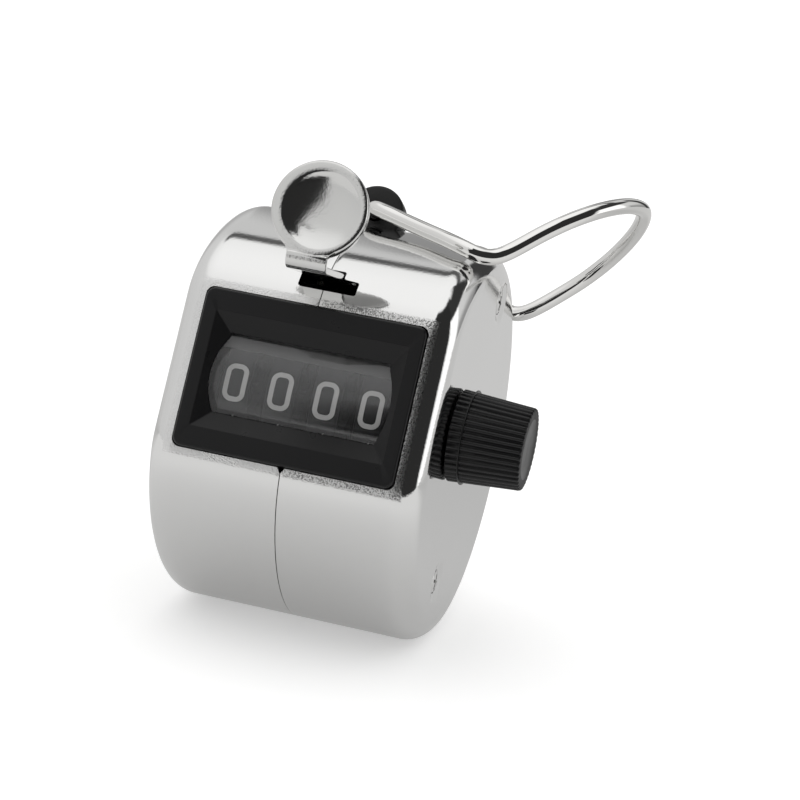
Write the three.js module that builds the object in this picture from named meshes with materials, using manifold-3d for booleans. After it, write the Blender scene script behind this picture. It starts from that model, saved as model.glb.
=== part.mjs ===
// Hand tally counter: drum case in two shells, window bezel and lens, four number wheels with carry
// pinions, thumb lever with ratchet drive, reset knob, and a wire finger ring on a pivot barrel.
// Millimetres, +Z up. Pieces are laid out in the window's own frame (x right, y back, z up along the
// window). The whole counter is then laid back so that the window faces slightly upwards, with the
// origin in the middle of the left side face.
import * as THREE from 'three';
import * as BufferGeometryUtils from 'three/addons/utils/BufferGeometryUtils.js';
import Module from 'manifold-3d';

const wasm = await Module();
wasm.setup();

const { degToRad } = THREE.MathUtils;

// ---------------------------------------------------------------- shared dimensions
// An axis along X is given as its [y, z].
const LAY_BACK = degToRad(20);            // window normal above the horizontal
const BODY_W = 30;
const SIDE_X = BODY_W / 2;                // side faces
const BODY_CENTRE = [21.8, -0.5];         // [y, z]
const FIT = 0.15;                         // gap round fitted parts
const RUNNING_FIT = 0.2;                  // gap round shafts, posts, wire ends and the lever

const BEZEL_W = 24.2;
const BEZEL_H = 17.2;

const WHEEL_AXIS = [11.9, -0.4];
const WHEEL_PITCH = 5;
const WHEEL_BORE_R = 1.95;
const SHAFT_R = 1.6;

const GEAR_MODULE = 0.8;
const WHEEL_TEETH = 20;
const PINION_TEETH = 8;
const WHEEL_PITCH_R = GEAR_MODULE * WHEEL_TEETH / 2;
const PINION_PITCH_R = GEAR_MODULE * PINION_TEETH / 2;
const PINION_ANGLE = degToRad(-35);       // direction of the pinions from the wheel axis
const PINION_AXIS = polar(WHEEL_PITCH_R + PINION_PITCH_R, PINION_ANGLE, WHEEL_AXIS);
const PINION_SHAFT_R = 0.75;
const PIN_HALF_L = 12.9;                  // pinion shaft and lever pivot pin

const PIVOT_AXIS = [9, 13.9];             // thumb lever pivot
const PIVOT_R = 1;
const LEVER_X0 = -2.65;
const LEVER_X1 = 1.65;
const PAWL_AXIS = [5.5, 3.5];             // pawl pin on the lever's drive arm

const SCREW_AXES = [[21.6, 16.2], [20.5, -15.8], [37, 0]];
const POST_R = 1.9;

const BARREL_FRONT = [15.5, 22.55];       // [y, z] of the middle of the barrel's front face
const BARREL_SLOPE = degToRad(4.6);       // falls towards the back
const BARREL_L = 13;                      // room between the finger ring's legs
const FLANGE_R = 3.2;                     // front flange of the barrel
const FLANGE_L = 2.6;
const SLEEVE_R = 2.1;                     // sleeve behind the flange
const SLEEVE_L = 8.5;                     // to the back of the sleeve, from the front face
const WIRE_R = 0.88;                      // finger ring wire

// ---------------------------------------------------------------- outlines
function polar(radius, angle, [a, b] = [0, 0]) {
  return [a + radius * Math.cos(angle), b + radius * Math.sin(angle)];
}

function arc(radius, start, end, steps, centre) {
  return Array.from({ length: steps + 1 }, (_, i) =>
    polar(radius, start + (end - start) * i / steps, centre));
}

const circle = (radius, sides, centre) =>
  arc(radius, 0, 2 * Math.PI, sides, centre).slice(0, -1);

// circle wound the other way, for a hole inside an outline
const hole = (radius, sides, centre) => circle(radius, sides, centre).reverse();

const arcBand = (outer, inner, start, end, steps, centre) => [
  ...arc(outer, start, end, steps, centre),
  ...arc(inner, start, end, steps, centre).reverse()
];

const shift = (points, [dy, dz]) => points.map(([y, z]) => [y + dy, z + dz]);

function roundRect(width, height, radius, steps) {
  const a = width / 2 - radius;
  const b = height / 2 - radius;
  return [[a, b], [-a, b], [-a, -b], [a, -b]].flatMap((centre, i) =>
    arc(radius, i * Math.PI / 2, (i + 1) * Math.PI / 2, steps, centre));
}

// outline of a flat strip of constant thickness along a polyline in (y, z)
function strip(points, thickness) {
  const direction = (from, to) => new THREE.Vector2(to[0] - from[0], to[1] - from[1]).normalize();
  const left = [];
  const right = [];
  const last = points.length - 1;
  points.forEach((point, i) => {
    const before = direction(points[Math.max(0, i - 1)], points[Math.max(1, i)]);
    const after = direction(points[Math.min(last - 1, i)], points[Math.min(last, i + 1)]);
    const normal = new THREE.Vector2(-(before.y + after.y), before.x + after.x).normalize();
    const square = new THREE.Vector2(-before.y, before.x);
    const offset = thickness / 2 / Math.max(0.4, normal.dot(square));   // limits the mitre
    left.push([point[0] + normal.x * offset, point[1] + normal.y * offset]);
    right.push([point[0] - normal.x * offset, point[1] - normal.y * offset]);
  });
  return [...left, ...right.reverse()];
}

function shapeOf(points, holes = []) {
  const vectors = (pairs) => pairs.map(([a, b]) => new THREE.Vector2(a, b));
  const shape = new THREE.Shape(vectors(points));
  shape.holes.push(...holes.map((pairs) => new THREE.Path(vectors(pairs))));
  return shape;
}

// ---------------------------------------------------------------- solids
// closed solid from a geometry, turned right side out if its volume comes out negative
function toSolid(geometry) {
  geometry.deleteAttribute('normal');
  geometry.deleteAttribute('uv');
  const merged = BufferGeometryUtils.mergeVertices(geometry, 1e-4);
  const positions = merged.attributes.position.array;
  const index = merged.index.array;
  const corner = (vertex) => new THREE.Vector3().fromArray(positions, vertex * 3);
  const triangles = [];
  let volume = 0;
  for (let i = 0; i < index.length; i += 3) {
    const [a, b, c] = index.slice(i, i + 3);
    if (a === b || b === c || a === c) continue;
    triangles.push(a, b, c);
    volume += corner(a).dot(corner(b).cross(corner(c)));
  }
  if (volume < 0) {
    for (let i = 0; i < triangles.length; i += 3) {
      [triangles[i], triangles[i + 1]] = [triangles[i + 1], triangles[i]];
    }
  }
  return new wasm.Manifold(new wasm.Mesh({
    numProp: 3,
    vertProperties: new Float32Array(positions),
    triVerts: new Uint32Array(triangles)
  }));
}

function toGeometry(solid) {
  const { vertProperties, triVerts } = solid.getMesh();
  const geometry = new THREE.BufferGeometry();
  geometry.setAttribute('position', new THREE.Float32BufferAttribute(vertProperties, 3));
  geometry.setIndex(Array.from(triVerts));
  geometry.computeVertexNormals();
  return geometry;
}

const join = (...solids) => solids.reduce((a, b) => a.add(b));
const cut = (base, ...tools) => tools.reduce((a, b) => a.subtract(b), base);

// takes a shape drawn in (y, z) and extruded to one that runs along +X
const YZ_TO_X = new THREE.Matrix4().makeBasis(
  new THREE.Vector3(0, 1, 0), new THREE.Vector3(0, 0, 1), new THREE.Vector3(1, 0, 0));
// takes a shape drawn in (x, z) and extruded to one that runs along -Y
const XZ_TO_Y = new THREE.Matrix4().makeBasis(
  new THREE.Vector3(1, 0, 0), new THREE.Vector3(0, 0, 1), new THREE.Vector3(0, -1, 0));

const extrude = (shape, depth) =>
  new THREE.ExtrudeGeometry(shape, { depth, bevelEnabled: false, steps: 1 });

function plateX(points, x0, x1, holes) {
  const geometry = extrude(shapeOf(points, holes), x1 - x0);
  geometry.applyMatrix4(YZ_TO_X);
  geometry.translate(x0, 0, 0);
  return toSolid(geometry);
}

function plateY(points, y0, y1) {
  const geometry = extrude(shapeOf(points), y1 - y0);
  geometry.applyMatrix4(XZ_TO_Y);
  geometry.translate(0, y1, 0);
  return toSolid(geometry);
}

function block(x0, x1, y0, y1, z0, z1) {
  const geometry = new THREE.BoxGeometry(x1 - x0, y1 - y0, z1 - z0);
  geometry.translate((x0 + x1) / 2, (y0 + y1) / 2, (z0 + z1) / 2);
  return toSolid(geometry);
}

// lathe about Y; profile is [distance along the axis, radius], closed or ending on the axis
const lathe = (profile, segments) =>
  new THREE.LatheGeometry(profile.map(([along, r]) => new THREE.Vector2(r, along)), segments);

function turnedX(profile, segments, [y, z]) {
  const geometry = lathe(profile, segments);
  geometry.rotateZ(-Math.PI / 2);
  geometry.translate(0, y, z);
  return toSolid(geometry);
}

const rodX = (x0, x1, radius, segments, axis) =>
  turnedX([[x0, 0], [x0, radius], [x1, radius], [x1, 0]], segments, axis);

// a profile given outwards from the middle plane, put on the right (side 1) or left (side -1)
const onSide = (side, profile) => profile.map(([x, r]) => [side * x, r]);

// turned about the ring pivot; distances run back from the barrel's front face
function turnedBarrel(profile, segments) {
  const geometry = lathe(profile, segments);
  geometry.rotateX(-BARREL_SLOPE);
  geometry.translate(0, ...BARREL_FRONT);
  return toSolid(geometry);
}

// round wire along a smooth curve through the points
function wire(points, radius, sides, steps) {
  const extrudePath = new THREE.CatmullRomCurve3(points, false, 'centripetal');
  return toSolid(new THREE.ExtrudeGeometry(shapeOf(circle(radius, sides)),
    { steps, bevelEnabled: false, extrudePath }));
}

// ---------------------------------------------------------------- group and finishes
const group = new THREE.Group();
const counter = new THREE.Group();        // everything in the window's frame
counter.rotation.x = -LAY_BACK;
counter.position.set(-SIDE_X, ...BODY_CENTRE).applyEuler(counter.rotation).negate();
group.add(counter);

const FINISH = {
  chrome: { color: 0xd4d4d2, roughness: 0.16, metalness: 1 },
  polished: { color: 0xe0e0de, roughness: 0.05, metalness: 1 },
  steel: { color: 0x9c9c9c, roughness: 0.4, metalness: 1 },
  brass: { color: 0xc0a060, roughness: 0.35, metalness: 1 },
  spring: { color: 0x8a8a88, roughness: 0.3, metalness: 1 },
  bezel: { color: 0x141414, roughness: 0.35, metalness: 0 },
  knob: { color: 0x1b1b1b, roughness: 0.6, metalness: 0 },
  wheel: { color: 0x2c2e30, roughness: 0.55, metalness: 0 },
  nylon: { color: 0xd9d6cc, roughness: 0.5, metalness: 0 },
  lens: { color: 0xdfe6ea, roughness: 0.05, metalness: 0 }
};

function piece(name, solid, finish) {
  const mesh = new THREE.Mesh(toGeometry(solid), new THREE.MeshStandardMaterial(FINISH[finish]));
  mesh.name = name;
  counter.add(mesh);
}

// ---------------------------------------------------------------- drum case
const RIM_FILLET = 3;                     // between drum surface and side face
const SHEET = 0.8;
const SEAM_HALF_GAP = 0.05;
const DRUM_FRONT_Y = 0.35;
const DRUM_SAMPLES = 44;
// drum outline [y, z]: flat front for the window, round back
const DRUM = [
  [DRUM_FRONT_Y, 0], [DRUM_FRONT_Y, 4], [DRUM_FRONT_Y, 7], [0.9, 9.9], [2.4, 13.1], [4.8, 15.7],
  [7.8, 17.7], [10.9, 19.4], [14.3, 20.7], [18, 21.5], [21.8, 21.7], [25.7, 21.1],
  [29.4, 19.8], [33.1, 18], [36.4, 15.4], [39.2, 12.25], [41.5, 8.6], [43.1, 4.43],
  [43.8, 0], [43.5, -4.5], [42.3, -8.8], [40.26, -12.85], [37.5, -16.3], [34, -19.07],
  [30.1, -21], [26.1, -22.3], [22, -22.8], [18, -22.35], [14.2, -21.3], [10.7, -19.9],
  [7.5, -18.1], [4.8, -15.7], [2.6, -12.9], [1.1, -9.8], [DRUM_FRONT_Y, -7], [DRUM_FRONT_Y, -4]
];
// recess and through hole for a case screw: [x, radius]
const SCREW_RECESS = [
  [SIDE_X + 0.2, 0], [SIDE_X + 0.2, 2.6], [SIDE_X, 2.45], [14.55, 1.85], [14.55, 1.3],
  [13.9, 1.3], [13.9, 0]
];

const drumCurve = new THREE.CatmullRomCurve3(
  DRUM.map(([y, z]) => new THREE.Vector3(y, z, 0)), true, 'centripetal');
const drumPoints = drumCurve.getSpacedPoints(DRUM_SAMPLES).slice(0, -1)
  .map((point) => [Math.max(DRUM_FRONT_Y, point.x), point.y]);

function drum(width, fillet, inset, segments) {
  const depth = width - 2 * fillet;
  const geometry = new THREE.ExtrudeGeometry(shapeOf(drumPoints), {
    depth,
    steps: 1,
    bevelEnabled: true,
    bevelThickness: fillet,
    bevelSize: fillet,
    bevelOffset: -fillet - inset,
    bevelSegments: segments
  });
  geometry.translate(0, 0, -depth / 2);
  geometry.applyMatrix4(YZ_TO_X);
  return toSolid(geometry);
}

function caseShell() {
  const halfW = BEZEL_W / 2 + FIT;
  const halfH = BEZEL_H / 2 + FIT;
  const windowCut = block(-halfW, halfW, -2, 3, -halfH, halfH);
  // lever slot, its lower part reaching further right
  const slotX0 = LEVER_X0 - RUNNING_FIT;
  const slotCut = join(
    block(slotX0, LEVER_X1 + RUNNING_FIT, -1, 6, 10.5, 12.95),
    block(slotX0, 3.5, -1, 6, 10.5, 12.2));
  const past = 0.2;                       // cutter beyond the barrel's length
  const barrelCut = turnedBarrel([
    [-past, 0], [-past, FLANGE_R + FIT], [FLANGE_L + FIT, FLANGE_R + FIT],
    [FLANGE_L + FIT, SLEEVE_R + FIT], [BARREL_L + past, SLEEVE_R + FIT], [BARREL_L + past, 0]
  ], 24);
  const hollow = drum(BODY_W - 2 * SHEET, RIM_FILLET - SHEET, SHEET, 2);
  return cut(drum(BODY_W, RIM_FILLET, 0, 3), hollow, windowCut, slotCut, barrelCut);
}

const shell = caseShell();
const screwRecesses = (side) =>
  SCREW_AXES.map((axis) => turnedX(onSide(side, SCREW_RECESS), 16, axis));
const leftHalf = block(-20, -SEAM_HALF_GAP, -10, 60, -40, 40);
const rightHalf = block(SEAM_HALF_GAP, 20, -10, 60, -40, 40);
const shaftHole = rodX(12, 16, SHAFT_R + 0.5, 24, WHEEL_AXIS);
piece('case_left', cut(shell.intersect(leftHalf), ...screwRecesses(-1)), 'chrome');
piece('case_right', cut(shell.intersect(rightHalf), shaftHole, ...screwRecesses(1)), 'chrome');

// ---------------------------------------------------------------- bezel and lens
const BEZEL_D = 2;
const CHAMFER_W = 21;                     // outer edge of the chamfer
const CHAMFER_H = 12.45;
const CHAMFER_D = 1.33;
const OPEN_W = 17.6;                      // opening at the bottom of the chamfer
const OPEN_H = 8.56;
const LENS_R = 11.25;
const LENS_T = 1;
const LENS_HALF_W = 9.9;
const LENS_ANGLE = 27;                    // degrees either side of straight forward

// cutter for the chamfer: a four-sided frustum, carried on a little in front of the bezel
function chamferCutter() {
  const extra = 0.6;
  const grow = (outer, inner) => outer + (outer - inner) * extra / CHAMFER_D;
  const frontW = grow(CHAMFER_W, OPEN_W);
  const frontH = grow(CHAMFER_H, OPEN_H);
  const geometry = new THREE.CylinderGeometry(Math.SQRT1_2, Math.SQRT1_2, 1, 4, 1);
  geometry.rotateY(Math.PI / 4);
  // corners go out to the given size, cap centres stay on the axis
  const place = (value, size) => (Math.abs(value) < 1e-3 ? 0 : Math.sign(value) * size / 2);
  const position = geometry.attributes.position;
  for (let i = 0; i < position.count; i++) {
    const front = position.getY(i) < 0;
    const x = place(position.getX(i), front ? frontW : OPEN_W);
    const z = place(position.getZ(i), front ? frontH : OPEN_H);
    position.setXYZ(i, x, front ? -extra : CHAMFER_D, z);
  }
  return toSolid(geometry);
}

// start and end angles of an arc that faces the window
const forwardSpan = (degrees) => [Math.PI + degToRad(degrees), Math.PI - degToRad(degrees)];

function windowBezel() {
  const body = join(
    plateY(roundRect(BEZEL_W, BEZEL_H, 1, 4), 0, BEZEL_D),
    block(-12.7, 12.7, 1.45, BEZEL_D, -7, 7));     // side tabs
  const opening = block(-OPEN_W / 2, OPEN_W / 2, 1.2, 3, -OPEN_H / 2, OPEN_H / 2);
  const pocketArc = arc(LENS_R + FIT, ...forwardSpan(LENS_ANGLE + 1.2), 16, WHEEL_AXIS);
  const pocket = plateX([WHEEL_AXIS, ...pocketArc], -LENS_HALF_W - FIT, LENS_HALF_W + FIT);
  return cut(body, chamferCutter(), opening, pocket);
}
piece('window_bezel', windowBezel(), 'bezel');

const lensOutline = arcBand(LENS_R, LENS_R - LENS_T, ...forwardSpan(LENS_ANGLE), 16, WHEEL_AXIS);
piece('window_lens', plateX(lensOutline, -LENS_HALF_W, LENS_HALF_W), 'lens');

// ---------------------------------------------------------------- number wheels and carry train
const WHEEL_R = 9.1;
const NUMBER_RIM_HALF = 1.6;              // half width of the numbered rim
const RIM_CHAMFER = 0.15;
const WHEEL_FLANGE = 0.75;                // width of the gear and of the locking disc
const OVERLAP = 0.02;                     // flanges run this far into the rim
const LOCK_R = 6.9;
const LOCK_NOTCH_R = 6.2;
const LOCK_SIDES = 24;
const ADDENDUM = 0.5;
const DEDENDUM = 0.75;
const PINION_W = 1.5;

function gearPoints(teeth, pitchR, tooth, phase) {
  const tip = pitchR + ADDENDUM;
  const root = pitchR - DEDENDUM;
  const tipHalf = tooth * 0.5;
  const rootHalf = tooth * 1.35;
  // one tooth: [radius, distance round that radius]
  const profile = [[root, -rootHalf], [tip, -tipHalf], [tip, tipHalf], [root, rootHalf]];
  return Array.from({ length: teeth }, (_, i) => phase + 2 * Math.PI * i / teeth)
    .flatMap((middle) => profile.map(([r, along]) => polar(r, middle + along / r)));
}

const wheelX = (i) => (1.5 - i) * WHEEL_PITCH;      // counted from the right

function numberWheel(middle) {
  const x0 = middle - NUMBER_RIM_HALF;
  const x1 = middle + NUMBER_RIM_HALF;
  const body = turnedX([
    [x0, WHEEL_BORE_R], [x0, WHEEL_R - RIM_CHAMFER], [x0 + RIM_CHAMFER, WHEEL_R],
    [x1 - RIM_CHAMFER, WHEEL_R], [x1, WHEEL_R - RIM_CHAMFER], [x1, WHEEL_BORE_R],
    [x0, WHEEL_BORE_R]
  ], 32, WHEEL_AXIS);
  const bore = hole(WHEEL_BORE_R, 16, WHEEL_AXIS);
  // gear on the right, with a tooth in line with the pinion's gap
  const teeth = shift(gearPoints(WHEEL_TEETH, WHEEL_PITCH_R, 0.5, PINION_ANGLE), WHEEL_AXIS);
  const gear = plateX(teeth, x1 - OVERLAP, x1 + WHEEL_FLANGE, [bore]);
  // locking disc on the left, notched towards the pinion
  const lock = Array.from({ length: LOCK_SIDES }, (_, i) => polar(
    i === 0 ? LOCK_NOTCH_R : LOCK_R, PINION_ANGLE + 2 * Math.PI * i / LOCK_SIDES, WHEEL_AXIS));
  const disc = plateX(lock, x0 - WHEEL_FLANGE, x0 + OVERLAP, [bore]);
  return join(body, gear, disc);
}
['units', 'tens', 'hundreds', 'thousands'].forEach((name, i) =>
  piece('number_wheel_' + name, numberWheel(wheelX(i)), 'wheel'));

// transfer pinions, each midway between two wheels
function transferPinion(middle) {
  const phase = PINION_ANGLE + Math.PI + Math.PI / PINION_TEETH;
  const teeth = gearPoints(PINION_TEETH, PINION_PITCH_R, 0.48, phase);
  return plateX(shift(teeth, PINION_AXIS), middle - PINION_W / 2, middle + PINION_W / 2,
    [hole(PINION_SHAFT_R + RUNNING_FIT, 12, PINION_AXIS)]);
}
for (let i = 0; i < 3; i++) {
  piece('transfer_pinion_' + (i + 1), transferPinion(wheelX(i + 0.5)), 'nylon');
}
piece('pinion_shaft', rodX(-PIN_HALF_L, PIN_HALF_L, PINION_SHAFT_R, 14, PINION_AXIS), 'steel');

// ---------------------------------------------------------------- reset shaft and knob
const GROOVE_X0 = -13.2;                  // circlip groove at the shaft's left end
const GROOVE_X1 = -12.6;
const GROOVE_GAP = 0.1;                   // either side of the circlip
const CIRCLIP_HALF_OPENING = 0.5;         // radians
const KNOB_X0 = 15.12;
const KNOB_X1 = 23.2;
const KNOB_R0 = 5.03;                     // at the case
const KNOB_R1 = 4.49;                     // at the outer end
const KNOB_BAND_R = 5.3;
const KNOB_BORE_R = 1.75;
const KNOB_BORE_X1 = 19;

piece('wheel_shaft', turnedX([
  [-13.5, 0], [-13.5, SHAFT_R], [GROOVE_X0, SHAFT_R], [GROOVE_X0, 1.15],
  [GROOVE_X1, 1.15], [GROOVE_X1, SHAFT_R], [18.6, SHAFT_R], [18.6, 0]
], 24, WHEEL_AXIS), 'steel');

const circlipOutline = arcBand(2.5, 1.3,
  CIRCLIP_HALF_OPENING, 2 * Math.PI - CIRCLIP_HALF_OPENING, 18, WHEEL_AXIS);
piece('shaft_circlip',
  plateX(circlipOutline, GROOVE_X0 + GROOVE_GAP, GROOVE_X1 - GROOVE_GAP), 'spring');

piece('knob_friction_washer', turnedX([
  [12.75, 1.8], [12.75, 4.2], [13.15, 4.2], [13.15, 1.8], [12.75, 1.8]
], 24, WHEEL_AXIS), 'brass');

// slightly tapered knob with a raised band near the case
piece('reset_knob', turnedX([
  [KNOB_X0, KNOB_BORE_R], [KNOB_X0, KNOB_R0 - 0.15], [KNOB_X0 + 0.15, KNOB_R0],
  [KNOB_X0 + 1.36, KNOB_R0 - 0.09], [KNOB_X0 + 1.42, KNOB_BAND_R],
  [KNOB_X0 + 1.62, KNOB_BAND_R], [KNOB_X0 + 1.68, KNOB_R0 - 0.11],
  [KNOB_X1 - 0.3, KNOB_R1], [KNOB_X1, KNOB_R1 - 0.3], [KNOB_X1, 0],
  [KNOB_BORE_X1, 0], [KNOB_BORE_X1, KNOB_BORE_R], [KNOB_X0, KNOB_BORE_R]
], 28, WHEEL_AXIS), 'knob');

// ---------------------------------------------------------------- ratchet, right of the units wheel
const RATCHET_TEETH = 10;
const RATCHET_ROOT_R = 3.05;
const RATCHET_TIP_R = 3.9;
const RATCHET_TURN = 0.15;                // radians
// one tooth: [radius, angle in radians]
const RATCHET_TOOTH = [[RATCHET_ROOT_R, 0], [RATCHET_TIP_R, 0.04], [RATCHET_TIP_R, 0.12]];

const ratchetOutline = Array.from({ length: RATCHET_TEETH },
  (_, i) => 2 * Math.PI * i / RATCHET_TEETH + RATCHET_TURN)
  .flatMap((start) => RATCHET_TOOTH.map(([r, angle]) => polar(r, start + angle, WHEEL_AXIS)));
piece('ratchet_wheel',
  plateX(ratchetOutline, 10, 10.7, [hole(WHEEL_BORE_R, 20, WHEEL_AXIS)]), 'brass');

// ---------------------------------------------------------------- frame
const PLATE_X = 11.6;                     // inner faces of the plates
const PLATE_T = 0.8;
const PLATE_INSET = 1.7;                  // from the drum outline, towards the body centre
const PLATE_MIN_Y = 3.4;
const PLATE_MAX_Z = 17.9;
// openings through the plates, [y, z]
const PLATE_OPENINGS = [
  [[27, -3], [33, -5], [32, -11], [27, -12.5]],
  [[24, 3], [32, 4], [31, 10.5], [24.5, 11.5]]
];

function plateOutline() {
  const [centreY, centreZ] = BODY_CENTRE;
  const outline = drumPoints.map(([y, z]) => {
    const dy = y - centreY;
    const dz = z - centreZ;
    const distance = Math.hypot(dy, dz);
    const scale = (distance - PLATE_INSET) / distance;
    return [Math.max(PLATE_MIN_Y, centreY + dy * scale),
      Math.min(PLATE_MAX_Z, centreZ + dz * scale)];
  });
  // points in line with both neighbours are left out
  const cross = (a, b, c) => (b[0] - a[0]) * (c[1] - b[1]) - (b[1] - a[1]) * (c[0] - b[0]);
  const count = outline.length;
  return outline.filter((point, i) => Math.abs(
    cross(outline[(i + count - 1) % count], point, outline[(i + 1) % count])) > 1e-3);
}

function framePlate(x0) {
  const x1 = x0 + PLATE_T;
  const holes = [
    circle(SHAFT_R + RUNNING_FIT, 16, WHEEL_AXIS),
    circle(PINION_SHAFT_R + RUNNING_FIT, 12, PINION_AXIS),
    circle(PIVOT_R + RUNNING_FIT, 14, PIVOT_AXIS),
    ...SCREW_AXES.map((axis) => circle(POST_R + RUNNING_FIT, 14, axis)),
    ...PLATE_OPENINGS
  ];
  return cut(plateX(plateOutline(), x0, x1), ...holes.map((h) => plateX(h, x0 - 1, x1 + 1)));
}
piece('frame_plate_left', framePlate(-PLATE_X - PLATE_T), 'steel');
piece('frame_plate_right', framePlate(PLATE_X), 'steel');

// ---------------------------------------------------------------- posts and case screws
const POST_HALF_L = 14.1;
const POST_BORE_R = 1.15;
const POST_BORE_X = 10;                   // bottom of the bore in each end
// shank and head, [x, radius]
const SCREW = [[11, 0], [11, 0.95], [14.3, 0.95], [14.66, 1.2], [14.66, 1.6], [14.86, 1.6],
  [14.94, 1.3], [14.94, 0]];

const framePost = (axis) => turnedX([
  [-POST_HALF_L, POST_BORE_R], [-POST_HALF_L, POST_R], [POST_HALF_L, POST_R],
  [POST_HALF_L, POST_BORE_R], [POST_BORE_X, POST_BORE_R], [POST_BORE_X, 0],
  [-POST_BORE_X, 0], [-POST_BORE_X, POST_BORE_R], [-POST_HALF_L, POST_BORE_R]
], 14, axis);

function caseScrew(side, axis) {
  const [y, z] = axis;
  const slotX = side * 15.1;              // middle of the slot cutter
  const slot = block(slotX - 0.3, slotX + 0.3, y - 2, y + 2, z - 0.22, z + 0.22);
  return cut(turnedX(onSide(side, SCREW), 14, axis), slot);
}

SCREW_AXES.forEach((axis, i) => {
  piece('frame_post_' + (i + 1), framePost(axis), 'steel');
  piece('case_screw_right_' + (i + 1), caseScrew(1, axis), 'polished');
  piece('case_screw_left_' + (i + 1), caseScrew(-1, axis), 'polished');
});

// ---------------------------------------------------------------- thumb lever
const LEVER_T = 0.8;
const LUG_R = 1.9;
const ARM_X0 = 10.85;
const ARM_X1 = 11.35;
const PAD_Y = -6.7;
const PAD_Z = 17.5;
// thumb pad, [distance back from PAD_Y, radius]
const PAD = [[0.35, 0], [0.35, 3.3], [-0.1, 4], [-0.4, 4.3], [-0.4, 4.75], [-0.15, 5], [0.3, 5],
  [0.45, 4.85], [0.9, 4], [1.1, 3.2], [1.1, 0]];
// drive arm, [y, z]
const ARM = [[7.6, 14.6], [5, 13.6], [4.5, 4], [4.35, 3.2], [4.8, 2.5], [5.7, 2.35], [6.6, 3],
  [7.2, 6], [10.6, 12.6]];

function thumbLever() {
  const underside = (y) => 11.75 + 0.12 * y;        // of the sloping shelf
  const onShelf = (y, rise = LEVER_T / 2) => [y, underside(y) + rise];
  // middle of the sheet, from the pivot forward and up to the pad
  const sheetPath = [onShelf(7.9), onShelf(2), onShelf(-5.4), onShelf(-6.15, 0.57),
    [-6.58, 12.05], [-6.66, 12.7], [-6.66, 13], [-6.66, 13.6]];
  const sheet = plateX(strip(sheetPath, LEVER_T), LEVER_X0, LEVER_X1);
  const pad = lathe(PAD, 24);
  pad.translate((LEVER_X0 + LEVER_X1) / 2, PAD_Y, PAD_Z);
  // cross bar from the shelf to the drive arm
  const barOutline = [onShelf(4.9, 0), onShelf(6.7, 0), onShelf(6.7, LEVER_T),
    onShelf(4.9, LEVER_T)];
  const bar = plateX(barOutline, LEVER_X0, ARM_X1);
  const lug = (x0, x1) => plateX(circle(LUG_R, 20, PIVOT_AXIS), x0, x1);
  const solid = join(sheet, toSolid(pad), bar, lug(LEVER_X0, LEVER_X0 + LEVER_T),
    lug(ARM_X0, ARM_X1), plateX(ARM, ARM_X0, ARM_X1));
  return cut(solid, rodX(-4, 12.5, PIVOT_R + FIT, 16, PIVOT_AXIS),
    rodX(10, 12.5, 0.6, 12, PAWL_AXIS));
}
piece('thumb_lever', thumbLever(), 'polished');
piece('lever_pivot_pin', rodX(-PIN_HALF_L, PIN_HALF_L, PIVOT_R, 16, PIVOT_AXIS), 'steel');

// ---------------------------------------------------------------- pawl and flat springs
piece('pawl_pin', turnedX([
  [9.9, 0], [9.9, 0.95], [10.04, 0.95], [10.04, 0.5], [11.5, 0.5], [11.5, 0]
], 12, PAWL_AXIS), 'steel');

// outlines and paths, [y, z]
const PAWL = [[4.5, 3.9], [4.45, 3.1], [5, 2.45], [6, 2.45], [6.6, 3.1], [9, 3.8], [10.35, 4],
  [10.35, 4.35], [7, 4.5], [5.2, 4.55]];
const PAWL_SPRING = [[7.3, 12.2], [6.9, 9], [7.4, 6.5], [8.4, 5.3], [9, 5.2]];
const DETENT_SPRING = [[18.6, -13.7], [17, -11.5], [14.6, -7.2], [13.4, -5.1], [12.7, -4.75]];
piece('drive_pawl', plateX(PAWL, 10.1, 10.65, [hole(0.65, 12, PAWL_AXIS)]), 'steel');
piece('pawl_spring', plateX(strip(PAWL_SPRING, 0.25), 10.15, 10.6), 'spring');
piece('detent_spring', plateX(strip(DETENT_SPRING, 0.3), 10.1, 10.6), 'spring');

// ---------------------------------------------------------------- lever return spring
const COIL_TURNS = 4;
const COIL_STEPS = 10;                    // points per turn
const COIL_R = 1.75;
const COIL_X0 = 2.4;
const COIL_X1 = 5.4;

// torsion spring round the pivot pin: left leg runs forward, right leg runs back
function returnSpring() {
  const at = (x, dy, dz) => new THREE.Vector3(x, PIVOT_AXIS[0] + dy, PIVOT_AXIS[1] + dz);
  const steps = COIL_TURNS * COIL_STEPS;
  const coil = Array.from({ length: steps + 1 }, (_, i) => at(
    COIL_X0 + (COIL_X1 - COIL_X0) * i / steps,
    ...polar(COIL_R, -Math.PI / 2 + 2 * Math.PI * i / COIL_STEPS)));
  const points = [at(COIL_X0, -6, -3.3), at(COIL_X0, -3, -2.6), ...coil,
    at(COIL_X1, 2.6, -2.2), at(COIL_X1, 6, -2.9)];
  return wire(points, 0.2, 4, 56);
}
piece('lever_return_spring', returnSpring(), 'spring');

// ---------------------------------------------------------------- finger ring and its barrel
const WIRE_BORE_R = WIRE_R + RUNNING_FIT;
const WIRE_BORE_D = 3.2;                  // blind bore in each end of the barrel

piece('ring_pivot_barrel', turnedBarrel([
  [0, WIRE_BORE_R], [0, FLANGE_R - 0.25], [0.25, FLANGE_R], [FLANGE_L, FLANGE_R],
  [FLANGE_L, SLEEVE_R], [SLEEVE_L, SLEEVE_R], [SLEEVE_L, WIRE_BORE_R],
  [SLEEVE_L - WIRE_BORE_D, WIRE_BORE_R], [SLEEVE_L - WIRE_BORE_D, 0], [WIRE_BORE_D, 0],
  [WIRE_BORE_D, WIRE_BORE_R], [0, WIRE_BORE_R]
], 24), 'bezel');

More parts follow.
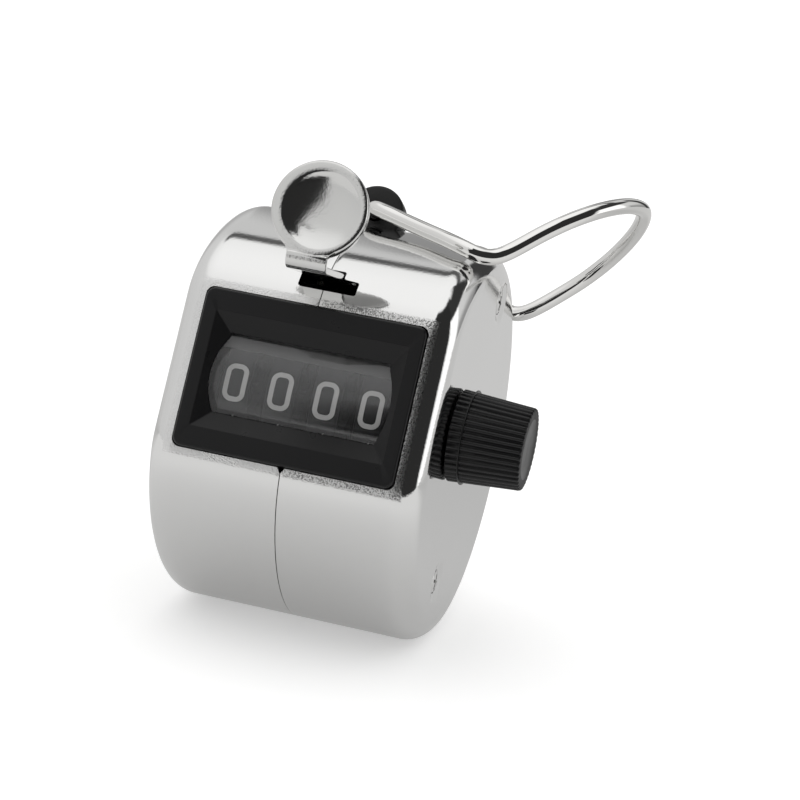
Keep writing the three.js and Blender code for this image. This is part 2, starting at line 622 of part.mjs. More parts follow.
// Wire stations: [right, outwards past the end of BARREL_L, up], square to the barrel axis.
const FRONT_LEG = [
  [0, -2.8, 0], [0, 0.8, 0], [0.25, 2, -0.05], [1.5, 2.95, -0.5], [4, 3.9, -1.35],
  [7.9, 5.7, -2.7], [10.6, 7.2, -3.65], [12.6, 7.9, -4.35], [14.2, 7.7, -4.75], [15.8, 6.8, -4.3]
];
// the last station is the wire's end, 2.6 inside the sleeve
const REAR_LEG = [
  [15.7, 6.3, -3.2], [14.1, 6.9, -3.45], [12.5, 7, -2.8], [10.5, 6.3, -1.95], [8, 5.2, -1.2],
  [4, 3.9, -0.5], [1.5, 3, -0.15], [0.25, 2, 0.02], [0, 0.8, 0],
  [0, SLEEVE_L - BARREL_L - 2.6, 0]
];
const LOOP = {
  tilt: degToRad(43),                     // plane of the loop above the horizontal
  right: 16.55, up: -3.43,                // where that plane starts
  near: 5.5, far: 16.1,                   // reach along the plane, at the legs and at the far end
  halfDepth: BARREL_L / 2 + 4.8,
  power: 1.9,                             // superellipse exponent
  steps: 12,
  // shifts that fade out towards the far end
  legInwards: 0.45, legSpread: 0.8, legDrop: 0.05,
  // front side lowered, rear side raised
  frontDrop: 0.6, rearRise: 0.05
};

// loop of the ring, from the front leg round to the rear leg: [right, back, up]
function loopStation(i) {
  const angle = -Math.PI / 2 + Math.PI * i / LOOP.steps;
  const rounded = (value) => Math.sign(value) * Math.pow(Math.abs(value), 2 / LOOP.power);
  const out = rounded(Math.cos(angle));
  const back = rounded(Math.sin(angle));
  const leg = 1 - out;
  const reach = LOOP.near + (LOOP.far - LOOP.near) * out;
  const [right, up] = polar(reach, LOOP.tilt, [LOOP.right, LOOP.up]);
  const sideShift = (back < 0 ? LOOP.frontDrop : LOOP.rearRise) * back;
  return [
    right - LOOP.legInwards * leg,
    (LOOP.halfDepth + LOOP.legSpread * leg) * back,
    up + sideShift - LOOP.legDrop * leg
  ];
}

function fingerRing() {
  const cos = Math.cos(BARREL_SLOPE);
  const sin = Math.sin(BARREL_SLOPE);
  const half = BARREL_L / 2;
  // back is measured along the barrel axis, from the middle of BARREL_L
  const at = (right, back, up) => new THREE.Vector3(right,
    BARREL_FRONT[0] + (half + back) * cos + up * sin,
    BARREL_FRONT[1] - (half + back) * sin + up * cos);
  const loop = Array.from({ length: LOOP.steps + 1 }, (_, i) => at(...loopStation(i)));
  const points = [
    ...FRONT_LEG.map(([right, past, up]) => at(right, -half - past, up)),
    ...loop,
    ...REAR_LEG.map(([right, past, up]) => at(right, half + past, up))
  ];
  return wire(points, WIRE_R, 8, 64);
}
piece('finger_ring', fingerRing(), 'polished');

export default group;
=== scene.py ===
import math
from functools import partial

import bmesh
import bpy
import numpy as np
from mathutils import Matrix, Vector


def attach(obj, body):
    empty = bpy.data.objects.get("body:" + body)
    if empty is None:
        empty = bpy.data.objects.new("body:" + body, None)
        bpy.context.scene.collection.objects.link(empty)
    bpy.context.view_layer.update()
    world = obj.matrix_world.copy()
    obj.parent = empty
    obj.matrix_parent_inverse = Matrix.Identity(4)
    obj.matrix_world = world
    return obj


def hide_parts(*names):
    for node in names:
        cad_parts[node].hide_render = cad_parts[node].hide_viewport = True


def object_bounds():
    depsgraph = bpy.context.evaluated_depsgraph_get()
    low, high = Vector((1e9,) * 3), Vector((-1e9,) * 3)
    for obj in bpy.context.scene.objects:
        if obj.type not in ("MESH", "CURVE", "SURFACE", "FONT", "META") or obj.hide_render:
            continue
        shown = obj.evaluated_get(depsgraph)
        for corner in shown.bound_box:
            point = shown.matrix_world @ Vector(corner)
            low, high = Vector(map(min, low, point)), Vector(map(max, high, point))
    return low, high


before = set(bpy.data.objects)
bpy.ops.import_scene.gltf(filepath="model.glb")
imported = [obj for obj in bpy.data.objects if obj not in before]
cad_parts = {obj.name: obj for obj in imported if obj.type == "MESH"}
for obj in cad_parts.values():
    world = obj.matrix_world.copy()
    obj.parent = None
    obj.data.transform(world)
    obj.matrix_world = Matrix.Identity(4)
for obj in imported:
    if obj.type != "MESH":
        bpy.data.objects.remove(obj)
cad_box = [[float(c) for c in corner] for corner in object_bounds()]

# ------------------------------------------------------------------ window frame and row frame
TILT = math.radians(20)
DATUM = (-15.0, 21.8, -0.5)      # the row frame's origin, in the window's frame
COS_TILT, SIN_TILT = math.cos(TILT), math.sin(TILT)


def turn(direction):
    """A direction in the window's frame, in the row frame."""
    direction = np.asarray(direction, float)
    out = direction.copy()
    out[..., 1] = direction[..., 1] * COS_TILT + direction[..., 2] * SIN_TILT
    out[..., 2] = -direction[..., 1] * SIN_TILT + direction[..., 2] * COS_TILT
    return out


def row(point):
    """A point in the window's frame (mm) in the row frame (m)."""
    return turn(np.asarray(point, float) - np.array(DATUM)) / 1000.0


def unrow(point):
    """The window-frame point (mm) of a point in the row frame (m)."""
    x, y, z = (c * 1000.0 for c in point)
    return (x + DATUM[0], y * COS_TILT - z * SIN_TILT + DATUM[1],
            y * SIN_TILT + z * COS_TILT + DATUM[2])


# ------------------------------------------------------------------ shared dimensions (mm)
CASE_HALF, CASE_EDGE_R, CASE_WALL = 15.0, 3.0, 0.8
WINDOW = (24.2, 17.2)            # width and height of the bezel's outside
WHEEL_Y, WHEEL_Z, WHEEL_R = 11.9, -0.4, 9.1
WHEEL_AXIS = (WHEEL_Y, WHEEL_Z)
WHEEL_PITCH = 5.0
SCREWS = [(21.6, 16.2), (20.5, -15.8), (37.0, 0.0)]     # (y, z) on both sides

# barrel the finger ring turns in: its front end's place, its slope down towards the back
BARREL_START = np.array([0, 15.5, 22.55])
BARREL_SLOPE = math.radians(4.6)
BARREL_R, BARREL_L, BARREL_BORE = 3.2, 13.0, 0.95
FLANGE_L, SLEEVE_R, SLEEVE_L = 2.6, 2.1, 8.5
BARREL_AXIS = np.array([0, math.cos(BARREL_SLOPE), -math.sin(BARREL_SLOPE)])
BARREL_UP = np.array([0, math.sin(BARREL_SLOPE), math.cos(BARREL_SLOPE)])


# ------------------------------------------------------------------ shader helpers
def add_node(tree, kind, inputs=None, **settings):
    """A shader node; each input is a value, or a socket to link from."""
    node = tree.nodes.new("ShaderNode" + kind)
    for setting, value in settings.items():
        setattr(node, setting, value)
    for socket, value in (inputs or {}).items():
        if isinstance(value, bpy.types.NodeSocket):
            tree.links.new(value, node.inputs[socket])
        else:
            node.inputs[socket].default_value = value
    return node


def math_node(tree, operation, first, second=None):
    inputs = {0: first} if second is None else {0: first, 1: second}
    return add_node(tree, "Math", inputs, operation=operation).outputs[0]


def map_range(tree, value, source, target, interpolation="LINEAR"):
    inputs = {"Value": value, "From Min": source[0], "From Max": source[1],
              "To Min": target[0], "To Max": target[1]}
    return add_node(tree, "MapRange", inputs, interpolation_type=interpolation).outputs[0]


def soft_step(tree, value, at, soft, rising=True):
    target = (0.0, 1.0) if rising else (1.0, 0.0)
    return map_range(tree, value, (at - soft, at + soft), target, "SMOOTHSTEP")


def soft_band(tree, value, low, high, soft):
    """1 between low and high, with soft edges."""
    return math_node(tree, "MULTIPLY", soft_step(tree, value, low, soft),
                     soft_step(tree, value, high, soft, rising=False))


def mix_shaders(tree, factor, first, second):
    inputs = {0: factor, 1: first.outputs[0], 2: second.outputs[0]}
    return add_node(tree, "MixShader", inputs)


def object_coords(tree, **mapping):
    coords = add_node(tree, "TexCoord").outputs["Object"]
    return add_node(tree, "Mapping", {"Vector": coords, **mapping}).outputs["Vector"]


def noise(tree, scale, detail=3.0, roughness=0.5, stretch=(1, 1, 1), vector=None):
    """Noise over the object's coordinates in metres, or over a given vector."""
    if vector is None:
        vector = object_coords(tree, Scale=stretch)
    inputs = {"Vector": vector, "Scale": scale, "Detail": detail, "Roughness": roughness}
    return add_node(tree, "TexNoise", inputs).outputs["Fac"]


def vary_roughness(tree, bsdf, factor, limits):
    tree.links.new(map_range(tree, factor, (0.3, 0.7), limits), bsdf.inputs["Roughness"])


def bump(tree, bsdf, height, strength, distance):
    node = add_node(tree, "Bump", {"Strength": strength, "Distance": distance, "Height": height})
    tree.links.new(node.outputs["Normal"], bsdf.inputs["Normal"])


def mix_tones(tree, bsdf, factor, first, second):
    node = add_node(tree, "Mix", {0: factor, 6: (*first, 1), 7: (*second, 1)}, data_type="RGBA")
    tree.links.new(node.outputs[2], bsdf.inputs["Base Color"])


def principled(name, colour, roughness, metal=0.0):
    material = bpy.data.materials.new(name)
    material.use_nodes = True
    bsdf = material.node_tree.nodes["Principled BSDF"]
    bsdf.inputs["Base Color"].default_value = (*colour, 1)
    bsdf.inputs["Roughness"].default_value = roughness
    bsdf.inputs["Metallic"].default_value = metal
    return material, material.node_tree, bsdf


def empty_material(name):
    material = bpy.data.materials.new(name)
    material.use_nodes = True
    material.node_tree.nodes.clear()
    return material, material.node_tree


# ------------------------------------------------------------------ materials
def chrome(name, colour, roughness, ripple, ripple_scale):
    material, tree, bsdf = principled(name, colour, roughness[0], metal=1.0)
    vary_roughness(tree, bsdf, noise(tree, 160), roughness)
    bump(tree, bsdf, noise(tree, ripple_scale, detail=4.0, roughness=0.55), ripple,
         distance=0.00002)
    darker = tuple(c * 0.97 for c in colour)
    mix_tones(tree, bsdf, noise(tree, 60, detail=2.0), darker, colour)
    return material


def plastic(name, colour, other, roughness, grain_scale, grain, specular=0.45):
    material, tree, bsdf = principled(name, colour, roughness[0])
    vary_roughness(tree, bsdf, noise(tree, grain_scale * 0.2), roughness)
    bump(tree, bsdf, noise(tree, grain_scale, detail=4.0, roughness=0.6), grain,
         distance=0.00003)
    mix_tones(tree, bsdf, noise(tree, grain_scale * 0.1, detail=2.0), colour, other)
    bsdf.inputs["Specular IOR Level"].default_value = specular
    return material


def brushed(name, colour, roughness, stretch):
    material, tree, bsdf = principled(name, colour, roughness[0], metal=1.0)
    streaks = noise(tree, 900, roughness=0.6, stretch=stretch)
    vary_roughness(tree, bsdf, streaks, roughness)
    bump(tree, bsdf, streaks, strength=0.25, distance=0.00002)
    darker = tuple(c * 0.85 for c in colour)
    mix_tones(tree, bsdf, noise(tree, 120, detail=2.0), darker, colour)
    return material


def case_chrome():
    """Bright plated sheet, slightly rippled, with an unpolished grainy margin round the window that
    carries painted dark specks of reflected shade.
    """
    material, tree, bsdf = principled("case_chrome", (0.80, 0.80, 0.795), 0.07, metal=1.0)
    calc = partial(math_node, tree)
    place = object_coords(tree, Scale=(1000, 1000, 1000), Rotation=(TILT, 0, 0), Location=DATUM)
    x, y, z = add_node(tree, "SeparateXYZ", {0: place}).outputs
    # the margin: near the window's edge and on the front only
    beside = calc("SUBTRACT", calc("ABSOLUTE", x), WINDOW[0] / 2)
    above = calc("SUBTRACT", calc("ABSOLUTE", z), WINDOW[1] / 2)
    distance = calc("MAXIMUM", beside, above)
    margin = calc("MULTIPLY", soft_step(tree, distance, at=0.95, soft=0.2, rising=False),
                  soft_step(tree, y, at=5, soft=1, rising=False))
    ripple = calc("MULTIPLY", noise(tree, 3.3, detail=3, vector=place), 0.25)
    grain = calc("SUBTRACT", noise(tree, 6.5, detail=1, vector=place), 0.5)
    grain = calc("MULTIPLY", calc("MULTIPLY", grain, margin), 1.6)
    bump(tree, bsdf, calc("ADD", ripple, grain), strength=1.0, distance=0.00002)
    # roughness: a faint cloud everywhere, more in the margin
    cloud = calc("ADD", calc("MULTIPLY", noise(tree, 160), 0.06), 0.045)
    tree.links.new(calc("ADD", cloud, calc("MULTIPLY", margin, 0.2)), bsdf.inputs["Roughness"])
    mix_tones(tree, bsdf, noise(tree, 60, detail=2.0), (0.785, 0.785, 0.78), (0.81, 0.81, 0.805))
    # painted shade: dark specks in the margin stand in for its grain reflecting the dark room, stronger
    # on its right half
    specks = soft_step(tree, noise(tree, 6.5, detail=2, vector=place), at=0.53, soft=0.07)
    right_half = soft_step(tree, x, at=0.3, soft=1.2)
    share = calc("ADD", 0.1, calc("MULTIPLY", 0.7, right_half))
    painted_shade_specks = calc("MULTIPLY", calc("MULTIPLY", specks, margin), share)
    plain = bsdf.inputs["Base Color"].links[0].from_socket
    dark = add_node(tree, "Mix", {0: painted_shade_specks, 6: plain, 7: (0.16, 0.16, 0.16, 1)}, data_type="RGBA")
    tree.links.new(dark.outputs[2], bsdf.inputs["Base Color"])
    return material


def lens_clear():
    """Thin clear pane: see-through, with a Fresnel reflection."""
    material, tree = empty_material("lens_clear")
    clear = add_node(tree, "BsdfTransparent", {"Color": (0.945, 0.945, 0.945, 1)})
    blur = map_range(tree, noise(tree, 300, detail=2.0), (0, 1), (0.03, 0.09))
    gloss = add_node(tree, "BsdfGlossy", {"Color": (0.96, 0.965, 0.975, 1), "Roughness": blur})
    fresnel = add_node(tree, "Fresnel", {"IOR": 1.42}).outputs["Fac"]
    share = math_node(tree, "ADD", math_node(tree, "MULTIPLY", fresnel, 1.0), 0.025)
    pane = mix_shaders(tree, share, clear, gloss)
    add_node(tree, "OutputMaterial", {"Surface": pane.outputs[0]})
    return material


# name: colour, roughness range, ripple strength, ripple scale (1/m)
CHROMES = {
    "polished_chrome": ((0.84, 0.835, 0.82), (0.02, 0.05), 0.06, 1500),
    "lever_chrome": ((0.72, 0.72, 0.71), (0.09, 0.14), 0.55, 4200),
    "screw_chrome": ((0.82, 0.82, 0.81), (0.06, 0.14), 0.2, 3000),
}
# name: two mixed colours, roughness range, grain scale (1/m), grain strength, specular level
PLASTICS = {
    "bezel_plastic": ((0.0075, 0.0075, 0.008), (0.0095, 0.0095, 0.010), (0.27, 0.33),
                      1800, 0.05, 0.24),
    "knob_plastic": ((0.0045, 0.0045, 0.005), (0.008, 0.008, 0.0085), (0.30, 0.38),
                     3200, 0.1, 0.42),
    # the end face's copy of the knob plastic: the matt finish is the part's own, the lighter tone is
    # painted light from the card to the right
    "knob_end": ((0.017, 0.017, 0.017), (0.024, 0.024, 0.024), (0.52, 0.62), 3600, 0.3),
    "barrel_plastic": ((0.008, 0.008, 0.008), (0.012, 0.012, 0.012), (0.40, 0.5),
                       3000, 0.12, 0.35),
    "wheel_plastic": ((0.012, 0.012, 0.013), (0.016, 0.016, 0.017), (0.42, 0.5),
                      1200, 0.03, 0.12),
    "numeral_ink": ((0.60, 0.60, 0.59), (0.68, 0.68, 0.67), (0.5, 0.6), 2000, 0.05),
    "wheel_side": ((0.003, 0.003, 0.0032), (0.005, 0.005, 0.0052), (0.7, 0.8),
                   1200, 0.05, 0.03),
    "pinion_nylon": ((0.70, 0.68, 0.62), (0.78, 0.76, 0.70), (0.4, 0.5), 1500, 0.1),
    # painted reflection: opaque grey for the top of the lens, standing in for the bright ceiling it
    # reflects
    "lens_band": ((0.15, 0.15, 0.15), (0.17, 0.17, 0.17), (0.5, 0.6), 1500, 0.05),
}
# name: colour, roughness range, noise scale factors along x, y and z
BRUSHED = {
    "plain_steel": ((0.56, 0.56, 0.56), (0.24, 0.4), (1, 1, 12)),
    "spring_steel": ((0.42, 0.42, 0.43), (0.2, 0.32), (12, 1, 1)),
    "brass": ((0.78, 0.60, 0.30), (0.22, 0.34), (1, 10, 1)),
}
MATERIALS = {"case_chrome": case_chrome(), "lens_clear": lens_clear()}
for build, table in ((chrome, CHROMES), (plastic, PLASTICS), (brushed, BRUSHED)):
    for name, look in table.items():
        MATERIALS[name] = build(name, *look)

# ------------------------------------------------------------------ mesh helpers
COLLECTION = bpy.context.scene.collection


def add_object(name, data):
    ob = bpy.data.objects.new(name, data)
    COLLECTION.objects.link(ob)
    return ob


def make(name, verts, faces):
    """A mesh from window-frame millimetres, with its faces turned outwards."""
    mesh = bpy.data.meshes.new(name)
    points = row(np.array(verts, float))
    mesh.from_pydata([tuple(p) for p in points], [], [tuple(f) for f in faces])
    bm = bmesh.new()
    bm.from_mesh(mesh)
    bmesh.ops.recalc_face_normals(bm, faces=bm.faces)
    bm.to_mesh(mesh)
    bm.free()
    return add_object(name, mesh)


def bake(ob):
    """Applies the object's modifiers to its mesh."""
    depsgraph = bpy.context.evaluated_depsgraph_get()
    mesh = bpy.data.meshes.new_from_object(ob.evaluated_get(depsgraph))
    old = ob.data
    ob.modifiers.clear()
    ob.data = mesh
    mesh.name = ob.name
    if old.users == 0:
        bpy.data.meshes.remove(old)


def boolean(ob, tools, operation="DIFFERENCE"):
    """Cuts or joins the tools, in order, and removes them."""
    for tool in tools:
        modifier = ob.modifiers.new("boolean", "BOOLEAN")
        modifier.operation = operation
        modifier.solver = "EXACT"
        modifier.object = tool
    bake(ob)
    for tool in tools:
        bpy.data.objects.remove(tool)


def shade(ob, angle, weighted=True):
    """Smooth shading with edges above the angle (degrees) kept sharp."""
    mesh = ob.data
    mesh.polygons.foreach_set("use_smooth", [True] * len(mesh.polygons))
    mesh.set_sharp_from_angle(angle=math.radians(angle))
    if weighted:
        modifier = ob.modifiers.new("weighted", "WEIGHTED_NORMAL")
        modifier.keep_sharp = True
        modifier.weight = 60
        bake(ob)


def finish(ob, body, slot, *nodes, material=None):
    """Material (named as the slot unless given), moving body, slot and CAD nodes replaced."""
    ob.data.materials.clear()
    ob.data.materials.append(MATERIALS[material or slot])
    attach(ob, body)
    if nodes:
        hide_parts(*nodes)


def paint(ob, material, chosen):
    """A second material on the faces whose centre (x, y, z in mm) is chosen."""
    ob.data.materials.append(MATERIALS[material])
    for face in ob.data.polygons:
        if chosen(*unrow(face.center)):
            face.material_index = 1


def angles(count):
    return np.arange(count) * 2 * math.pi / count


def bridge(first, second, count):
    """Quads between two loops that start at the given vertices."""
    faces = []
    for j in range(count):
        k = (j + 1) % count
        faces.append((first + j, first + k, second + k, second + j))
    return faces


def loft(name, loops, closed=False):
    """A skin through equal loops: capped, or closed by joining the last loop to the first."""
    size, count = len(loops[0]), len(loops)
    faces = []
    for i in range(count if closed else count - 1):
        faces += bridge(i * size, (i + 1) % count * size, size)
    if not closed:
        faces.append(tuple(range(size - 1, -1, -1)))
        faces.append(tuple((count - 1) * size + j for j in range(size)))
    return make(name, [p for loop in loops for p in loop], faces)


def lathe(name, profile, count, axis=WHEEL_AXIS, closed=False):
    """A profile of (x, radius) turned about an X-wise axis at (y, z)."""
    y, z = axis
    return loft(name, [[(x, y + r * math.cos(a), z + r * math.sin(a)) for a in angles(count)]
                       for x, r in profile], closed)


def barrel_lathe(name, profile, count, closed=False):
    """A profile of (distance from the front end, radius) turned about the barrel's axis."""
    side = np.array([1, 0, 0])
    loops = []
    for along, r in profile:
        centre = BARREL_START + BARREL_AXIS * along
        loops.append([tuple(centre + r * (math.cos(a) * side + math.sin(a) * BARREL_UP))
                      for a in angles(count)])
    return loft(name, loops, closed)


def prism_x(name, section, start, end):
    """A (y, z) section drawn out along X."""
    return loft(name, [[(x, a, b) for a, b in section] for x in (start, end)])


def prism_y(name, section, start, end):
    """An (x, z) section drawn out along Y."""
    return loft(name, [[(a, y, b) for a, b in section] for y in (start, end)])


def round_rect(width, height, radius, steps=6):
    """A rounded rectangle about the origin."""
    out = []
    for side_x, side_y, quarter in ((1, 1, 0), (-1, 1, 1), (-1, -1, 2), (1, -1, 3)):
        for i in range(steps + 1):
            a = (quarter + i / steps) * math.pi / 2
            out.append((side_x * (width / 2 - radius) + radius * math.cos(a),
                        side_y * (height / 2 - radius) + radius * math.sin(a)))
    return out


def round_poly(points, radius, steps=5):
    """A polygon with its corners rounded."""
    out = []
    count = len(points)
    for i in range(count):
        before, corner, after = (np.array(points[(i + k) % count], float) for k in (-1, 0, 1))
        len_in, len_out = np.linalg.norm(before - corner), np.linalg.norm(after - corner)
        to_before, to_after = (before - corner) / len_in, (after - corner) / len_out
        half = math.acos(max(-1, min(1, float(to_before @ to_after)))) / 2
        reach = min(radius / math.tan(half), 0.45 * min(len_in, len_out))
        r = reach * math.tan(half)
        middle = to_before + to_after
        centre = corner + middle / np.linalg.norm(middle) * math.hypot(reach, r)
        start = corner + to_before * reach - centre
        end = corner + to_after * reach - centre
        from_angle = math.atan2(start[1], start[0])
        to_angle = math.atan2(end[1], end[0])
        sweep = (to_angle - from_angle + math.pi) % (2 * math.pi) - math.pi
        for k in range(steps + 1):
            a = from_angle + sweep * k / steps
            out.append((centre[0] + r * math.cos(a), centre[1] + r * math.sin(a)))
    return out


# ------------------------------------------------------------------ drum case
# the side outline starts in the middle of the flat front, goes up and round the back
OUTLINE_LENGTH = 140.35112656
OUTLINE_START = (0.39725711, 0.48720302)     # (y, z)
OUTLINE_POINTS, OUTLINE_STEPS = 440, 7200
# (share of the length, curvature in 1/mm)
OUTLINE_CURVATURE = [
    (0, 0), (0.045, 0), (0.062, 0.14311), (0.085, 0.09362), (0.11, 0.05399), (0.14, 0.03369),
    (0.19, 0.04008), (0.26, 0.04697), (0.34, 0.04029), (0.42, 0.04396), (0.5, 0.04744),
    (0.58, 0.04642), (0.66, 0.04507), (0.74, 0.04518), (0.81, 0.03754), (0.86, 0.04332),
    (0.89, 0.05102), (0.915, 0.07682), (0.938, 0.12129), (0.955, 0), (1.0, 0),
]


def case_outline():
    """Outline points and outward normals: y, z, normal y, normal z."""
    n = OUTLINE_STEPS
    share = np.linspace(0, 1, n + 1)
    bend = np.interp(share, *zip(*OUTLINE_CURVATURE))
    step = OUTLINE_LENGTH / n
    heading = math.pi / 2 - np.r_[0, np.cumsum((bend[1:] + bend[:-1]) / 2) * step]
    middle = (heading[1:] + heading[:-1]) / 2
    y = OUTLINE_START[0] + np.r_[0, np.cumsum(np.cos(middle)) * step]
    z = OUTLINE_START[1] + np.r_[0, np.cumsum(np.sin(middle)) * step]
    # spread the small closing error along the outline
    y -= share * (y[-1] - y[0])
    z -= share * (z[-1] - z[0])
    pick = (np.arange(OUTLINE_POINTS) * n) // OUTLINE_POINTS
    return y[pick], z[pick], -np.sin(heading[pick]), np.cos(heading[pick])


# (x, z): opening above the window for the lever
LEVER_SLOT = [(-2.85, 10.62), (-2.45, 10.5), (3.5, 10.5), (3.5, 12.1), (1.76, 12.22),
              (1.76, 13.1), (-2.85, 13.1)]
# (x, z): small triangular notch below the window
NOTCH = [(-0.55, -8.5), (0.55, -8.5), (0.0, -9.35)]
WINDOW_GAP, BARREL_GAP = 0.22, 0.12
SCREW_PIT_DEPTH = 0.24


def screw_pit(side, axis):
    """Cutter for the rounded pit a screw head sits in, with its hole."""
    profile = [(CASE_HALF + 0.3, 2.7), (CASE_HALF + 0.001, 2.69)]
    profile += [(CASE_HALF - SCREW_PIT_DEPTH * (0.5 - 0.5 * math.cos(math.pi * t)), 2.68 - 1.3 * t)
                for t in np.linspace(0, 1, 14)]
    profile += [(14.7, 1.33), (13.8, 1.33)]
    return lathe("cutter", [(side * x, r) for x, r in profile], 40, axis)


def case_cutters(side):
    barrel_r, sleeve_r = BARREL_R + BARREL_GAP, SLEEVE_R + BARREL_GAP
    window = round_rect(WINDOW[0] + WINDOW_GAP, WINDOW[1] + WINDOW_GAP, 0.9)
    cutters = [prism_y("cutter", window, -2, 3.2),
               prism_y("cutter", round_poly(LEVER_SLOT, 0.26), -2, 6),
               prism_y("cutter", NOTCH, -2, 3.2),
               barrel_lathe("cutter", [(-0.3, barrel_r), (FLANGE_L + 0.12, barrel_r),
                                       (FLANGE_L + 0.13, sleeve_r),
                                       (BARREL_L + 0.2, sleeve_r)], 64)]
    cutters += [screw_pit(side, axis) for axis in SCREWS]
    if side > 0:                 # hole behind the reset knob
        cutters.append(lathe("cutter", [(12, 2.1), (16, 2.1)], 40))
    return cutters


def case_half(side, word):
    """Half the drum, from the seam at x = 0 to its flat side; side is -1 or 1."""
    outline_y, outline_z, normal_y, normal_z = case_outline()
    size = len(outline_y)
    # (x, inset) of each ring: seam groove, drum, rounded edge, flat side
    flat_x = CASE_HALF - CASE_EDGE_R
    outer = [(0.02, 0.16), (0.03, 0.07), (0.06, 0.02), (0.13, 0.0)]
    outer += [(x, 0.0) for x in (0.5, 1.2, 2, 3, 4, 5, 6, 7, 8, 9, 10, 11, 11.6)]
    for i in range(21):
        a = math.pi / 2 * i / 20
        outer.append((flat_x + CASE_EDGE_R * math.sin(a), CASE_EDGE_R * (1 - math.cos(a))))
    outer += [(CASE_HALF, 3.25), (CASE_HALF, 4.2)]
    # and of the inside, back to the seam
    inner_r = CASE_EDGE_R - CASE_WALL
    inner = [(CASE_HALF - CASE_WALL, 4.2)]
    for i in range(6, -1, -1):
        a = math.pi / 2 * i / 6
        inner.append((flat_x + inner_r * math.sin(a), CASE_WALL + inner_r * (1 - math.cos(a))))
    inner += [(x, CASE_WALL) for x in (9, 6, 3, 1, 0.02)]

    verts = [(side * x, outline_y[i] - normal_y[i] * inset, outline_z[i] - normal_z[i] * inset)
             for x, inset in outer + inner for i in range(size)]
    first_inner = len(outer) * size
    last = first_inner + (len(inner) - 1) * size
    faces = []
    for start in range(0, first_inner - size, size):
        faces += bridge(start, start + size, size)
    faces.append(tuple(first_inner - size + j for j in range(size)))
    for start in range(first_inner, last, size):
        faces += bridge(start, start + size, size)
    faces.append(tuple(first_inner + j for j in range(size - 1, -1, -1)))
    faces += bridge(last, 0, size)
    ob = make("case_shell_" + word, verts, faces)
    boolean(ob, case_cutters(side))
    shade(ob, 34)
    finish(ob, "case", "case_chrome", "case_" + word)


case_half(-1, "left")
case_half(1, "right")

# ------------------------------------------------------------------ bezel and lens
BEZEL_DEPTH = 2.0
RIM = (21.0, 12.45)              # front edge of the sloping faces
OPENING = (17.6, 8.56)           # clear opening behind them
# (rectangle, growth of its width and height, corner radius, y)
BEZEL_STATIONS = [
    (WINDOW, 0, 1.0, BEZEL_DEPTH), (WINDOW, 0, 1.0, 0.40), (WINDOW, -0.06, 0.97, 0.22),
    (WINDOW, -0.22, 0.9, 0.08), (WINDOW, -0.45, 0.8, 0.0), (RIM, 0.24, 0.22, 0.0),
    (RIM, 0.1, 0.2, 0.015), (RIM, 0, 0.18, 0.07), (OPENING, 0.12, 0.14, 1.28),
    (OPENING, 0, 0.12, 1.36), (OPENING, 0, 0.12, BEZEL_DEPTH),
]
LENS_R, LENS_T, LENS_HALF_W = 11.25, 1.0, 9.9
LENS_ANGLE = 27                  # degrees up and down from the middle
LENS_GAP, LENS_GAP_ANGLE = 0.1, 1.2
REFLECTION_BAND_ANGLE = 18.7                # lower edge of the painted reflection band on the lens, in degrees


def front_arc(radius, angle, count):
    """An arc about the wheels' axis, facing the window, from below to above."""
    return [(WHEEL_Y - radius * math.cos(a), WHEEL_Z + radius * math.sin(a))
            for a in np.radians(np.linspace(-angle, angle, count))]


def bezel():
    loops = [[(x, y, z) for x, z in round_rect(width + grow, height + grow, radius)]
             for (width, height), grow, radius, y in BEZEL_STATIONS]
    ob = loft("window_bezel_moulding", loops, closed=True)
    seat = [(WHEEL_Y - 4, WHEEL_Z)]
    seat += front_arc(LENS_R + LENS_GAP, LENS_ANGLE + LENS_GAP_ANGLE, 49)
    half = LENS_HALF_W + LENS_GAP
    boolean(ob, [prism_x("cutter", seat, -half, half)])
    shade(ob, 28)
    finish(ob, "case", "bezel_plastic", "window_bezel")


def lens():
    inner_r = LENS_R - LENS_T
    section = front_arc(LENS_R, LENS_ANGLE, 57) + front_arc(inner_r, LENS_ANGLE, 57)[::-1]
    ob = prism_x("window_lens_pane", section, -LENS_HALF_W, LENS_HALF_W)
    shade(ob, 30)
    finish(ob, "case", "lens_clear", "window_lens")

    def in_reflection_band(x, y, z):
        """Along the top of the inner face, where opaque grey paints the ceiling's reflection over the
        wheels.
        """
        radius = math.hypot(y - WHEEL_Y, z - WHEEL_Z)
        angle = math.degrees(math.asin((z - WHEEL_Z) / radius))
        return abs(radius - inner_r) < 0.05 and angle > REFLECTION_BAND_ANGLE

    # painted reflection: an opaque grey band over the lens's top stands in for the ceiling's reflection
    paint(ob, "lens_band", in_reflection_band)


bezel()
lens()

# ------------------------------------------------------------------ numerals
HALF_W, HALF_H, CORNER = 0.97, 1.77, 0.72    # of a numeral's centreline
HALF_STROKE = 0.26
STROKE_STEP = 0.45               # shortest step that divides a straight
HIGH = HALF_H - CORNER           # centre height of the top corners; the bottom ones are at -HIGH


def arc(side, centre_z, start, end, radius=CORNER):
    """A corner (degrees) on the right (1) or left (-1) of a numeral."""
    centre_x = side * (HALF_W - CORNER)
    out = []
    for i in range(11):
        a = math.radians(start + (end - start) * i / 10)
        out.append((centre_x + radius * math.cos(a), centre_z + radius * math.sin(a)))
    return out


def oblong(top, bottom):
    """A closed rounded rectangle between two heights."""
    high, low = top - CORNER, bottom + CORNER
    return (arc(1, high, 0, 90) + arc(-1, high, 90, 180)
            + arc(-1, low, 180, 270) + arc(1, low, 270, 360))


TOP_HOOK = arc(-1, HIGH, 170, 90) + arc(1, HIGH, 90, 0)
BOTTOM_HOOK = arc(1, -HIGH, 0, -90) + arc(-1, -HIGH, 270, 190)
